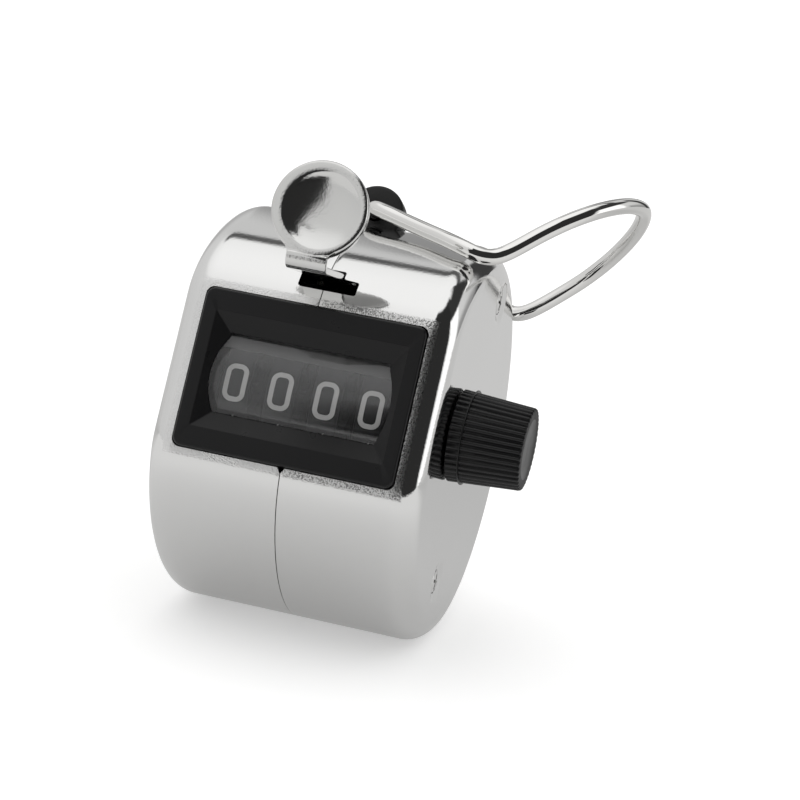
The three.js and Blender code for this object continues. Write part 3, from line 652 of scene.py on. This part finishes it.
# strokes of the digits 0 to 9: (centreline, closed)
DIGITS = [
    [(oblong(HALF_H, -HALF_H), True)],
    [([(-0.5, HALF_H - 0.55), (0.15, HALF_H), (0.15, -HALF_H)], False)],
    [(TOP_HOOK + [(HALF_W, 0.75), (-HALF_W, -0.9), (-HALF_W, -HALF_H), (HALF_W, -HALF_H)],
      False)],
    [(TOP_HOOK + arc(1, 0.1 + CORNER - 0.05, 0, -90, CORNER - 0.05) + [(-0.25, 0.1)], False),
     ([(-0.25, 0.1)] + arc(1, 0.1 - CORNER, 90, 0) + BOTTOM_HOOK, False)],
    [([(0.5, -HALF_H), (0.5, HALF_H), (-HALF_W, -0.75), (HALF_W, -0.75)], False)],
    [([(HALF_W - 0.05, HALF_H), (-HALF_W + 0.05, HALF_H), (-HALF_W + 0.05, 0.2)]
      + arc(1, 0.2 - CORNER, 90, 0) + BOTTOM_HOOK, False)],
    [(oblong(0.25, -HALF_H), True),
     (arc(1, HIGH, 10, 90) + arc(-1, HIGH, 90, 180) + [(-HALF_W, -0.6)], False)],
    [([(-HALF_W, HALF_H), (HALF_W, HALF_H), (-0.3, -HALF_H)], False)],
    [(oblong(HALF_H, 0.12), True), (oblong(0.12, -HALF_H), True)],
    [(oblong(HALF_H, -0.25), True),
     (arc(-1, -HIGH, 190, 270) + arc(1, -HIGH, 270, 360) + [(HALF_W, 0.6)], False)],
]


def densify(path, closed):
    """The centreline without doubled points, its long straights divided."""
    path = [q for i, q in enumerate(path) if math.dist(q, path[i - 1]) > 1e-4]
    ends = path[1:] + path[:1] if closed else path[1:]
    out = []
    for p, q in zip(path, ends):
        k = max(1, int(math.dist(p, q) / STROKE_STEP))
        out += [(p[0] + (q[0] - p[0]) * j / k, p[1] + (q[1] - p[1]) * j / k) for j in range(k)]
    return out if closed else out + path[-1:]


def unit(vectors):
    return vectors / np.maximum(1e-9, np.linalg.norm(vectors, axis=1))[:, None]


def ribbon(path, closed):
    """Left and right edges of a constant-width stroke along a centreline."""
    path = np.array(path, float)
    leave = unit(np.roll(path, -1, axis=0) - path)
    enter = np.roll(leave, 1, axis=0)
    if not closed:
        enter[0] = leave[0]
        leave[-1] = enter[-1]
    normal = unit(np.c_[-(enter[:, 1] + leave[:, 1]), enter[:, 0] + leave[:, 0]])
    square = normal[:, 1] * enter[:, 0] - normal[:, 0] * enter[:, 1]
    offset = normal * (HALF_STROKE / np.maximum(0.45, square))[:, None]
    return path + offset, path - offset


def numerals(name, centre_x, body):
    verts, faces = [], []
    for digit, strokes in enumerate(DIGITS):
        digit_angle = math.radians(-1.5) - digit * math.radians(36)
        for order, (path, closed) in enumerate(strokes):
            left, right = ribbon(densify(path, closed), closed)
            n = len(left)
            # from just under the rim to just over it; a second stroke stands a little higher
            left_in = len(verts)
            right_in, left_out, right_out = (left_in + n * k for k in (1, 2, 3))
            for radius in (WHEEL_R - 0.04, WHEEL_R + 0.055 + 0.006 * order):
                for x, z in (*left, *right):
                    a = digit_angle + z / WHEEL_R
                    verts.append((centre_x + x, WHEEL_Y - radius * math.cos(a),
                                  WHEEL_Z + radius * math.sin(a)))
            for i in range(n if closed else n - 1):
                k = (i + 1) % n
                faces += [(left_out + i, left_out + k, right_out + k, right_out + i),
                          (left_in + i, right_in + i, right_in + k, left_in + k),
                          (left_in + i, left_in + k, left_out + k, left_out + i),
                          (right_in + i, right_out + i, right_out + k, right_in + k)]
            if not closed:
                for i in (0, n - 1):
                    end = (left_in + i, left_out + i, right_out + i, right_in + i)
                    faces.append(end if i == 0 else (end[0], end[3], end[2], end[1]))
    ob = make("numerals_" + name, verts, faces)
    shade(ob, 40, weighted=False)
    finish(ob, body, "wheel_plastic", material="numeral_ink")


# ------------------------------------------------------------------ number wheels
RIM_HALF, BORE_R = 1.6, 1.95
# (distance from the wheel's middle, radius), from the bore out
RIM_PROFILE = [(RIM_HALF, BORE_R), (RIM_HALF, 2.9), (RIM_HALF, 8.85), (1.53, 9.03),
               (1.38, WHEEL_R)]
HUB_IN, HUB_OUT = 1.2, 2.35      # reach of the gear (right) and the locking disc (left)
GEAR_TEETH, GEAR_TIP, GEAR_ROOT, TOOTH_HALF = 20, 8.5, 7.25, 0.5
# a tooth's flank: (radius, share of the tooth's half width)
GEAR_FLANK = [(GEAR_ROOT, 1.35), (GEAR_ROOT + 0.45 * (GEAR_TIP - GEAR_ROOT), 0.95),
              (GEAR_TIP - 0.06, 0.56), (GEAR_TIP, 0.4)]
LOCK_R, LOCK_GAP_R, LOCK_POINTS = 6.9, 6.2, 72
PINION_ANGLE = math.radians(-35)     # a tooth and the locking disc's gap point this way


def polar(radius, angle):
    return WHEEL_Y + radius * math.cos(angle), WHEEL_Z + radius * math.sin(angle)


def number_wheel(name, centre_x, body):
    rim = [(centre_x - x, r) for x, r in RIM_PROFILE] + [(centre_x, WHEEL_R)]
    rim += [(centre_x + x, r) for x, r in RIM_PROFILE[::-1]]
    ob = lathe("number_wheel_body_" + name, rim, 144, closed=True)
    tooth = [(r, -TOOTH_HALF * share) for r, share in GEAR_FLANK]
    tooth += [(r, TOOTH_HALF * share) for r, share in GEAR_FLANK[::-1]]
    teeth = [PINION_ANGLE + 2 * math.pi * i / GEAR_TEETH for i in range(GEAR_TEETH)]
    outline = [polar(r, a + offset / r) for a in teeth for r, offset in tooth]
    gear = prism_x("gear", outline, centre_x + HUB_IN, centre_x + HUB_OUT)
    outline = [polar(LOCK_GAP_R if i in (LOCK_POINTS - 1, 0, 1) else LOCK_R,
                     PINION_ANGLE + 2 * math.pi * i / LOCK_POINTS) for i in range(LOCK_POINTS)]
    disc = prism_x("disc", outline, centre_x - HUB_OUT, centre_x - HUB_IN)
    boolean(ob, [gear, disc], "UNION")
    boolean(ob, [lathe("cutter", [(centre_x - 4, BORE_R), (centre_x + 4, BORE_R)], 48)])
    shade(ob, 30)
    finish(ob, body, "wheel_plastic", "number_wheel_" + name)
    paint(ob, "wheel_side", lambda x, y, z: abs(x - centre_x) > RIM_HALF - 0.03)


for i, name in enumerate(("units", "tens", "hundreds", "thousands")):
    centre_x = (1.5 - i) * WHEEL_PITCH
    number_wheel(name, centre_x, name + "_wheel")
    numerals(name, centre_x, name + "_wheel")

# ------------------------------------------------------------------ reset knob
KNOB_IN, KNOB_OUT = 15.12, 23.2      # x of its two ends
KNOB_IN_R, KNOB_OUT_R = 5.03, 4.49
KNOB_RIBS, POINTS_PER_RIB = 40, 12


def knob():
    around = angles(KNOB_RIBS * POINTS_PER_RIB)
    groove = (0.5 + 0.5 * np.cos(around * KNOB_RIBS)) ** 1.6

    def taper(x):
        return KNOB_IN_R + (KNOB_OUT_R - KNOB_IN_R) * (x - KNOB_IN) / (KNOB_OUT - KNOB_IN)

    start, end = KNOB_IN, KNOB_OUT
    start_r, end_r = taper(start), taper(end)
    # (x, radius, groove depth): socket, inner end, first ribs, plain collar, long ribs, outer end
    stations = [(19.0, 1.7, 0), (start, 1.75, 0), (start, start_r - 0.4, 0),
                (start + 0.03, start_r - 0.2, 0.1), (start + 0.16, start_r, 0.22),
                (start + 1.46, taper(start + 1.46), 0.25), (start + 1.47, 5.1, 0),
                (start + 1.5, 5.17, 0), (start + 1.58, 5.17, 0), (start + 1.61, 5.1, 0),
                (start + 1.62, taper(start + 1.62), 0.25)]
    stations += [(x, taper(x), 0.27) for x in np.linspace(start + 1.8, end - 0.3, 7)]
    stations += [(end - 0.14, end_r - 0.01, 0.26), (end - 0.04, end_r - 0.06, 0.24),
                 (end, end_r - 0.15, 0.2), (end, end_r - 0.6, 0), (end, end_r - 1.2, 0),
                 (end - 0.05, end_r - 1.3, 0), (end - 0.05, 0.6, 0)]
    loops = [[(x, *polar(r - depth * cut, a)) for a, cut in zip(around, groove)]
             for x, r, depth in stations]
    ob = loft("reset_knob_ribbed", loops)
    shade(ob, 50)
    finish(ob, "reset", "knob_plastic", "reset_knob")
    # painted light: the end face, which faces the bright card, gets the lighter matt copy of the knob
    # plastic
    paint(ob, "knob_end", lambda x, y, z: x > KNOB_OUT - 0.01)


knob()

# ------------------------------------------------------------------ case screws
# (distance from x = 0, radius) of the domed head
SCREW_PROFILE = [(11, 0.9), (14.2, 0.9), (14.5, 1.15), (14.58, 1.27), (14.66, 1.3),
                 (14.73, 1.25), (14.80, 1.08), (14.86, 0.8), (14.89, 0.4)]
# (half length in y, half length in z, floor) of the cross recess; unequal floors don't overlap
CROSS = [(0.85, 0.16, 14.6), (0.16, 0.85, 14.601)]


def screw(side, y, z, label):
    ob = lathe("shell_screw_" + label, [(side * x, r) for x, r in SCREW_PROFILE], 48, (y, z))
    cutters = []
    for half_y, half_z, floor_x in CROSS:
        section = [(y - half_y, z - half_z), (y + half_y, z - half_z),
                   (y + half_y, z + half_z), (y - half_y, z + half_z)]
        cutters.append(prism_x("cutter", section, side * floor_x, side * 15.4))
    boolean(ob, cutters)
    shade(ob, 35)
    finish(ob, "case", "screw_chrome", "case_screw_" + label)


for side, word in ((1, "right"), (-1, "left")):
    for i, (y, z) in enumerate(SCREWS):
        screw(side, y, z, f"{word}_{i + 1}")

# ------------------------------------------------------------------ thumb lever
LEVER_X0, LEVER_X1, LEVER_T = -2.65, 1.65, 0.8
PIVOT = (9.0, 13.9)              # (y, z)
PAD_CENTRE = (-0.32, -6.7, 17.5)
DISH_OFFSET = (0.28, -0.12)      # (x, z) of the dish's centre from the pad's
# the pad from its dish round to its back: (radius, y from its centre, share of the dish's offset)
PAD_PROFILE = [
    (0.5, 0.42, 1), (1.1, 0.40, 1), (1.7, 0.36, 1), (2.3, 0.28, 1), (2.8, 0.18, 1),
    (3.25, 0.06, 1), (3.6, -0.08, 1), (3.85, -0.2, 1), (4.0, -0.29, 1), (4.1, -0.335, 0.95),
    (4.22, -0.355, 0.8), (4.45, -0.36, 0.5), (4.8, -0.358, 0.05), (4.93, -0.335, 0),
    (5.04, -0.25, 0), (5.10, -0.1, 0), (5.12, 0.1, 0), (5.12, 0.5, 0), (5.10, 0.72, 0),
    (5.02, 0.88, 0), (4.9, 0.97, 0), (4.75, 1.0, 0), (4.2, 1.02, 0), (3.4, 1.07, 0),
    (2.2, 1.14, 0), (1.0, 1.18, 0),
]
SHELF_SLOPE = 0.12               # rise of the shelf per mm of y
BEND_Y, BEND_R = -5.652, 0.9     # where the shelf bends up into the neck
# (y from the bend's end, z) of the small crease in the neck
NECK_CREASE = [(0, 12.45), (0, 12.54), (0.02, 12.61), (0.06, 12.67), (0.075, 12.72),
               (0.06, 12.77), (0.02, 12.84)]
NECK_TOP = [(-6.657, 12.92), (-6.654, 13.05), (-6.654, 13.22)]     # (y, z)
# (y, z) of the arm that hangs inside the case
ARM = [(7.6, 14.6), (5.0, 13.6), (4.5, 4.0), (4.35, 3.2), (4.8, 2.5), (5.7, 2.35),
       (6.6, 3.0), (7.2, 6.0), (10.6, 12.6)]
HALF_T = LEVER_T / 2


def shelf_z(y):
    """Height of the shelf's middle."""
    return 11.75 + SHELF_SLOPE * y + HALF_T


def lever_pad():
    centre_x, centre_y, centre_z = PAD_CENTRE
    loops = [[(centre_x + share * DISH_OFFSET[0] + r * math.cos(a), centre_y + depth,
               centre_z + share * DISH_OFFSET[1] + r * math.sin(a)) for a in angles(120)]
             for r, depth, share in PAD_PROFILE]
    return loft("thumb_lever_plate", loops)


def lever_strip():
    """Shelf and neck: one sheet swept along its side profile, with rounded edges."""
    path = [(y, shelf_z(y)) for y in (7.9, 4, 0, -3, -5.2, BEND_Y + 0.02)]
    slope = math.atan(SHELF_SLOPE)
    for i in range(1, 15):
        a = i / 14 * (math.pi / 2 + slope) - slope
        path.append((BEND_Y + BEND_R * (-math.sin(a) - math.sin(slope)),
                     shelf_z(BEND_Y) + BEND_R * (math.cos(slope) - math.cos(a))))
    neck_y = path[-1][0]
    path += [(neck_y + y, z) for y, z in NECK_CREASE] + NECK_TOP
    points = np.array(path)
    tangent = np.gradient(points, axis=0)
    tangent /= np.linalg.norm(tangent, axis=1)[:, None]
    normal = np.c_[-tangent[:, 1], tangent[:, 0]]
    normal[(points[:, 1] > 12.4) & (points[:, 0] < -5)] = (-1, 0)
    loops = []
    for (y, z), (normal_y, normal_z) in zip(points, normal):
        x0, x1 = LEVER_X0, LEVER_X1
        if z > 12.35 and y < -5:     # the neck opens out into the pad
            k = min(1, (z - 12.35) / 0.87)
            x0, x1 = x0 - 0.42 * k * k, x1 + 0.7 * k * k
        loops.append([((x0 + x1) / 2 + x, y + normal_y * d, z + normal_z * d)
                      for x, d in round_rect(x1 - x0, LEVER_T, 0.12, steps=3)])
    return loft("strip", loops)


def lever():
    ob = lever_pad()
    bar = [(4.9, shelf_z(4.9) - HALF_T), (6.7, shelf_z(6.7) - HALF_T),
           (6.7, shelf_z(6.7) + HALF_T), (4.9, shelf_z(4.9) + HALF_T)]
    lugs = [(LEVER_X0 + 0.005, LEVER_X0 + 0.8), (10.85, 11.345)]
    parts = [lever_strip(), prism_x("bar", bar, LEVER_X0 + 0.01, 11.35)]
    parts += [lathe("lug", [(start, 1.9), (end, 1.9)], 40, PIVOT) for start, end in lugs]
    parts.append(prism_x("arm", ARM, 10.852, 11.348))
    boolean(ob, parts, "UNION")
    boolean(ob, [lathe("cutter", [(-4, 1.15), (12.5, 1.15)], 32, PIVOT),
                 lathe("cutter", [(10, 0.6), (12.5, 0.6)], 24, (5.5, 3.5))])
    shade(ob, 40)
    finish(ob, "lever", "polished_chrome", "thumb_lever", material="lever_chrome")


lever()

# ------------------------------------------------------------------ finger ring
WIRE_R = 0.88
# (x, distance beyond the barrel's end, height above its axis), out of the front end
RING_FRONT = [
    (0, -2.8, 0), (0, 0.8, 0), (0.25, 2.0, -0.05), (1.5, 2.95, -0.5), (4.0, 3.9, -1.35),
    (7.9, 5.7, -2.7), (10.6, 7.2, -3.65), (12.6, 7.9, -4.35), (14.2, 7.7, -4.75),
    (15.8, 6.8, -4.3),
]
# and back into the rear end
RING_REAR = [
    (15.7, 6.3, -3.2), (14.1, 6.9, -3.45), (12.5, 7.0, -2.8), (10.5, 6.3, -1.95),
    (8.0, 5.2, -1.2), (4.0, 3.9, -0.5), (1.5, 3.0, -0.15), (0.25, 2.0, 0.02), (0, 0.8, 0),
    (0, SLEEVE_L - BARREL_L - 2.6, 0),
]
LOOP_TILT = math.radians(43)     # the finger loop's rise from level
LOOP_NEAR, LOOP_FAR = 5.5, 16.1  # its reach along that rise
LOOP_POWER = 1.9                 # of its superellipse


def catmull(points, step):
    """Centripetal Catmull-Rom curve through the points, sampled about every step."""
    p = np.array(points, float)
    p = np.vstack([2 * p[0] - p[1], p, 2 * p[-1] - p[-2]])
    out = []
    for i in range(1, len(p) - 2):
        knots = [0.0]
        for k in range(i - 1, i + 2):
            knots.append(knots[-1] + max(1e-6, np.linalg.norm(p[k + 1] - p[k])) ** 0.5)
        count = max(2, int(np.linalg.norm(p[i + 1] - p[i]) / step))
        for t in np.linspace(knots[1], knots[2], count, endpoint=False):
            level = list(p[i - 1:i + 3])
            # three rounds of blending neighbours: over spans of 1, 2 and again 1 knots
            for first, span in ((0, 1), (0, 2), (1, 1)):
                level = [(knots[first + j + span] - t) / (knots[first + j + span] - knots[first + j]) * a
                         + (t - knots[first + j]) / (knots[first + j + span] - knots[first + j]) * b
                         for j, (a, b) in enumerate(zip(level, level[1:]))]
            out.append(level[0])
    out.append(p[-2])
    return np.array(out)


def ring_path():
    half = BARREL_L / 2
    middle = BARREL_START + BARREL_AXIS * BARREL_L / 2

    def at(x, along, up):
        return np.array([x, 0, 0]) + middle + along * BARREL_AXIS + up * BARREL_UP

    loop = []
    for i in range(13):
        t = -math.pi / 2 + math.pi * i / 12
        reach = abs(math.cos(t)) ** (2 / LOOP_POWER)
        swing = math.copysign(abs(math.sin(t)) ** (2 / LOOP_POWER), math.sin(t))
        out = LOOP_NEAR + (LOOP_FAR - LOOP_NEAR) * reach
        loop.append(at(16.55 + out * math.cos(LOOP_TILT) - 0.45 * (1 - reach),
                       (half + 4.8 + 0.8 * (1 - reach)) * swing,
                       -3.43 + out * math.sin(LOOP_TILT) + (0.6 if swing < 0 else 0.05) * swing
                       - 0.05 * (1 - reach)))
    front = [at(x, -(half + beyond), up) for x, beyond, up in RING_FRONT]
    rear = [at(x, half + beyond, up) for x, beyond, up in RING_REAR]
    return catmull(front + loop + rear, step=0.3)


def tube(name, points, radius, sides):
    """Round wire along a path that starts square to X."""
    length = np.r_[0, np.cumsum(np.linalg.norm(np.diff(points, axis=0), axis=1))]
    count = int(length[-1] / 0.35)
    at = np.linspace(0, length[-1], count)
    p = np.stack([np.interp(at, length, points[:, k]) for k in range(3)], 1)
    for _ in range(6):           # even out the bends
        p[1:-1] = p[1:-1] * 0.5 + (p[:-2] + p[2:]) * 0.25
    tangent = np.gradient(p, axis=0)
    tangent /= np.linalg.norm(tangent, axis=1)[:, None]
    across = np.cross(tangent[0], np.array([1.0, 0, 0]))
    across /= np.linalg.norm(across)
    loops = []
    for centre, along in zip(p, tangent):
        across = across - along * (across @ along)
        across /= np.linalg.norm(across)
        other = np.cross(along, across)
        loops.append([tuple(centre + radius * (math.cos(a) * across + math.sin(a) * other))
                      for a in angles(sides)])
    ob = loft(name, loops)
    shade(ob, 50, weighted=False)
    return ob


def ring_barrel():
    # (distance from the front end, radius): bore, rounded front flange, sleeve
    profile = [(3.2, BARREL_BORE), (0.25, BARREL_BORE), (0.1, 1.02), (0.08, 1.25),
               (0.02, 1.35), (0, 1.5), (0, 2.85), (0.04, 3.02), (0.14, 3.14),
               (0.30, BARREL_R), (FLANGE_L - 0.2, BARREL_R), (FLANGE_L - 0.06, 3.14),
               (FLANGE_L, 3.0), (FLANGE_L, SLEEVE_R + 0.2), (FLANGE_L + 0.2, SLEEVE_R),
               (SLEEVE_L - 0.3, SLEEVE_R), (SLEEVE_L - 0.08, SLEEVE_R - 0.08),
               (SLEEVE_L, SLEEVE_R - 0.3), (SLEEVE_L, 1.1), (SLEEVE_L - 0.1, BARREL_BORE),
               (SLEEVE_L - 3.2, BARREL_BORE)]
    ob = barrel_lathe("ring_barrel", profile, 72, closed=True)
    shade(ob, 40)
    finish(ob, "case", "barrel_plastic", "ring_pivot_barrel")


ring = tube("finger_ring_wire", ring_path(), WIRE_R, 24)
finish(ring, "ring", "polished_chrome", "finger_ring")
ring_barrel()

# ------------------------------------------------------------------ inner pieces keep CAD shapes
INNER_PIECES = {
    "plain_steel": ("pinion_shaft", "wheel_shaft", "frame_plate_left", "frame_plate_right",
                    "frame_post_1", "frame_post_2", "frame_post_3", "lever_pivot_pin",
                    "pawl_pin", "drive_pawl"),
    "spring_steel": ("shaft_circlip", "pawl_spring", "detent_spring", "lever_return_spring"),
    "brass": ("knob_friction_washer", "ratchet_wheel"),
    "pinion_nylon": ("transfer_pinion_1", "transfer_pinion_2", "transfer_pinion_3"),
}
for material, names in INNER_PIECES.items():
    for name in names:
        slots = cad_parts[name].data.materials
        slots.clear()
        slots.append(MATERIALS[material])

# ------------------------------------------------------------------ floor (row frame, m)
FLOOR_Z = cad_box[0][2] - 0.0003
FLOOR_HALF = 3.0
CENTRE_X = 0.015                 # the window's middle
DARK_EDGE, DARK_SOFT = -0.235, 0.03      # y where the mirrored floor ends in the dark
FLOOR_LIFT = 0.32                # light added where the camera sees the floor
FLOOR_MIRROR = 0.76              # level of the floor's painted glow in reflections


def floor_pale():
    """Pale matt sheet. Its mirror image in the chrome is a painted glow: a calm grey with painted
    shade near the case and behind it, that ends in the dark of the room in front."""
    material, tree = empty_material("floor_pale")
    calc = partial(math_node, tree)
    geometry = add_node(tree, "NewGeometry")
    x, y, _ = add_node(tree, "SeparateXYZ", {0: geometry.outputs["Position"]}).outputs
    rays = add_node(tree, "LightPath").outputs
    # the dark sector in front, by the angle from -Y towards +X
    azimuth = calc("ARCTAN2", calc("SUBTRACT", x, CENTRE_X), calc("MULTIPLY", y, -1.0))
    front = calc("MULTIPLY", soft_step(tree, y, DARK_EDGE, DARK_SOFT, rising=False),
                 soft_band(tree, azimuth, math.radians(-13), math.radians(86), math.radians(3)))
    matt = add_node(tree, "BsdfDiffuse", {"Color": (0.90, 0.90, 0.90, 1)})
    cloud = add_node(tree, "TexNoise", {"Scale": 6}).outputs["Fac"]
    tree.links.new(map_range(tree, cloud, (0, 1), (0.89, 0.91)), matt.inputs["Color"])
    lift = add_node(tree, "Emission", {"Strength": FLOOR_LIFT})
    seen = add_node(tree, "AddShader", {0: matt.outputs[0], 1: lift.outputs[0]})
    # painted shade: the glow seen in reflections is lower near the case, a painted contact shadow, and
    # lower behind it
    aside = calc("SUBTRACT", x, CENTRE_X)
    away = calc("SQRT", calc("ADD", calc("MULTIPLY", aside, aside), calc("MULTIPLY", y, y)))
    near = map_range(tree, away, (0.01, 0.09), (0.62, 1.0), "SMOOTHSTEP")
    behind = calc("MULTIPLY", 0.37, soft_step(tree, y, at=0.04, soft=0.04))
    strip = calc("MULTIPLY", 0.24, soft_band(tree, y, low=0.02, high=0.1, soft=0.03))
    behind = calc("SUBTRACT", calc("SUBTRACT", 1.0, behind), strip)
    level = calc("MULTIPLY", calc("MULTIPLY", near, behind), FLOOR_MIRROR)
    level = calc("MULTIPLY", level, calc("SUBTRACT", 1.0, calc("MULTIPLY", front, 0.95)))
    # painted reflection: a glow that reflections see in place of the lit floor
    mirror = add_node(tree, "Emission", {"Color": (1, 0.995, 0.985, 1), "Strength": level})
    glossy = rays["Is Glossy Ray"]
    reflected = mix_shaders(tree, glossy, matt, mix_shaders(tree, 0.55, matt, mirror))
    # in reflections beyond the edge nothing but the dark room shows
    black = add_node(tree, "Emission", {"Strength": 0.02})
    reflected = mix_shaders(tree, calc("MULTIPLY", front, glossy), reflected, black)
    surface = mix_shaders(tree, rays["Is Camera Ray"], reflected, seen)
    add_node(tree, "OutputMaterial", {"Surface": surface.outputs[0]})
    return material


corners = [(FLOOR_HALF * x, FLOOR_HALF * y, FLOOR_Z) for x, y in ((-1, -1), (1, -1), (1, 1), (-1, 1))]
floor_mesh = bpy.data.meshes.new("floor")
floor_mesh.from_pydata(corners, [], [(0, 1, 2, 3)])
floor = add_object("floor", floor_mesh)
floor.data.materials.append(floor_pale())

# ------------------------------------------------------------------ camera (window's frame, mm)
CAMERA_PLACE = (64.94954887, -250.15251410, -29.57728182)
CAMERA_RIGHT = (0.95824174, 0.18037146, 0.22189842)
CAMERA_DOWN = (0.19422297, 0.15901332, -0.96798357)
CAMERA_FORWARD = (-0.20988142, 0.97066003, 0.11734092)


def camera():
    data = bpy.data.cameras.new("camera")
    data.sensor_width = 36
    data.lens = 112.5
    data.clip_start, data.clip_end = 0.01, 20
    ob = add_object("camera", data)
    right, down, forward = (turn(v) for v in (CAMERA_RIGHT, CAMERA_DOWN, CAMERA_FORWARD))
    axes = Matrix([(right[k], -down[k], -forward[k]) for k in range(3)])
    place = Matrix.Translation(Vector(row(CAMERA_PLACE)))
    ob.matrix_world = place @ axes.to_quaternion().to_matrix().to_4x4()
    bpy.context.scene.camera = ob


camera()

# ------------------------------------------------------------------ world
# (height of a ray's direction, level of the room)
LEVELS = [(-0.2, 0.6), (0.0, 0.68), (0.3, 0.72), (0.62, 0.76), (0.74, 0.96), (0.95, 1.08)]
# (level; from, to, softness in degrees from the front towards the right;
#  from, to, softness in height of direction; lean of the sides)
PATCHES = [
    (0.66, 138, 190, 8, -0.05, 0.77, 0.03, 0),
    (0.66, -190, -140, 8, -0.05, 0.77, 0.03, 0),
    (0.44, -190, -140, 8, -0.05, 0.25, 0.2, 0),
    (0.10, 120, 190, 6, 0.745, 0.815, 0.02, 0),
    (0.10, -190, -138, 6, 0.745, 0.815, 0.02, 0),
    (0.31, -181, -163, 3, -0.1, 0.65, 0.06, 0),
    (0.028, -14, 86, 1.6, -0.12, 0.93, 0.025, 60),
    (0.08, -14.3, 0, 1.2, 0.69, 0.725, 0.012, 0),
    (1.3, 90, 119, 2.5, -0.3, 0.55, 0.05, 0),
    (0.34, 124, 152, 3, -0.3, 0.2, 0.12, 0),
    (0.05, 152, 168, 3, -0.3, 0.6, 0.05, 0),
    (0.04, 92, 150, 3, 0.55, 0.9, 0.04, 0),
]
ROOM_COLOUR = (1, 0.998, 0.994, 1)


def studio():
    """A pale room with a white ceiling, a dark opening in front and a white card to the right;
    diffuse rays see it without the patches, and the camera sees plain white."""
    world = bpy.data.worlds.new("studio")
    bpy.context.scene.world = world
    world.use_nodes = True
    tree = world.node_tree
    tree.nodes.clear()
    calc = partial(math_node, tree)
    direction = add_node(tree, "TexCoord").outputs["Generated"]
    x, y, z = add_node(tree, "SeparateXYZ", {0: direction}).outputs
    azimuth = calc("ARCTAN2", x, calc("MULTIPLY", y, -1.0))
    azimuth = calc("MULTIPLY", azimuth, 180 / math.pi)
    ramp = add_node(tree, "ValToRGB", {0: calc("ADD", calc("MULTIPLY", z, 0.5), 0.5)})
    stops = ramp.color_ramp.elements
    for i, (height, value) in enumerate(LEVELS):
        position = (height + 1) / 2
        stop = stops[i] if i < 2 else stops.new(position)     # a ramp starts with two stops
        stop.position = position
        stop.color = (value, value, value, 1)
    level = plain = ramp.outputs[0]
    over = calc("MAXIMUM", calc("SUBTRACT", z, 0.45), 0.0)
    for value, left, right, side_soft, low, high, soft, lean in PATCHES:
        where = calc("SUBTRACT", azimuth, calc("MULTIPLY", over, lean)) if lean else azimuth
        inside = calc("MULTIPLY", soft_band(tree, where, left, right, side_soft),
                      soft_band(tree, z, low, high, soft))
        mix = add_node(tree, "Mix", {0: inside, 2: level, 3: value}, data_type="FLOAT")
        level = mix.outputs[0]
    mirrored = add_node(tree, "Background", {"Color": ROOM_COLOUR, "Strength": level})
    lighting = add_node(tree, "Background",
                        {"Color": ROOM_COLOUR, "Strength": calc("MULTIPLY", plain, 1.05)})
    white = add_node(tree, "Background", {"Color": (1, 1, 1, 1), "Strength": 1.15})
    rays = add_node(tree, "LightPath").outputs
    room = mix_shaders(tree, rays["Is Diffuse Ray"], mirrored, lighting)
    room = mix_shaders(tree, rays["Is Camera Ray"], room, white)
    add_node(tree, "OutputWorld", {"Surface": room.outputs[0]})
    world.cycles.sampling_method = "MANUAL"
    world.cycles.sample_map_resolution = 512


studio()
bpy.context.scene.view_settings.view_transform = "Standard"
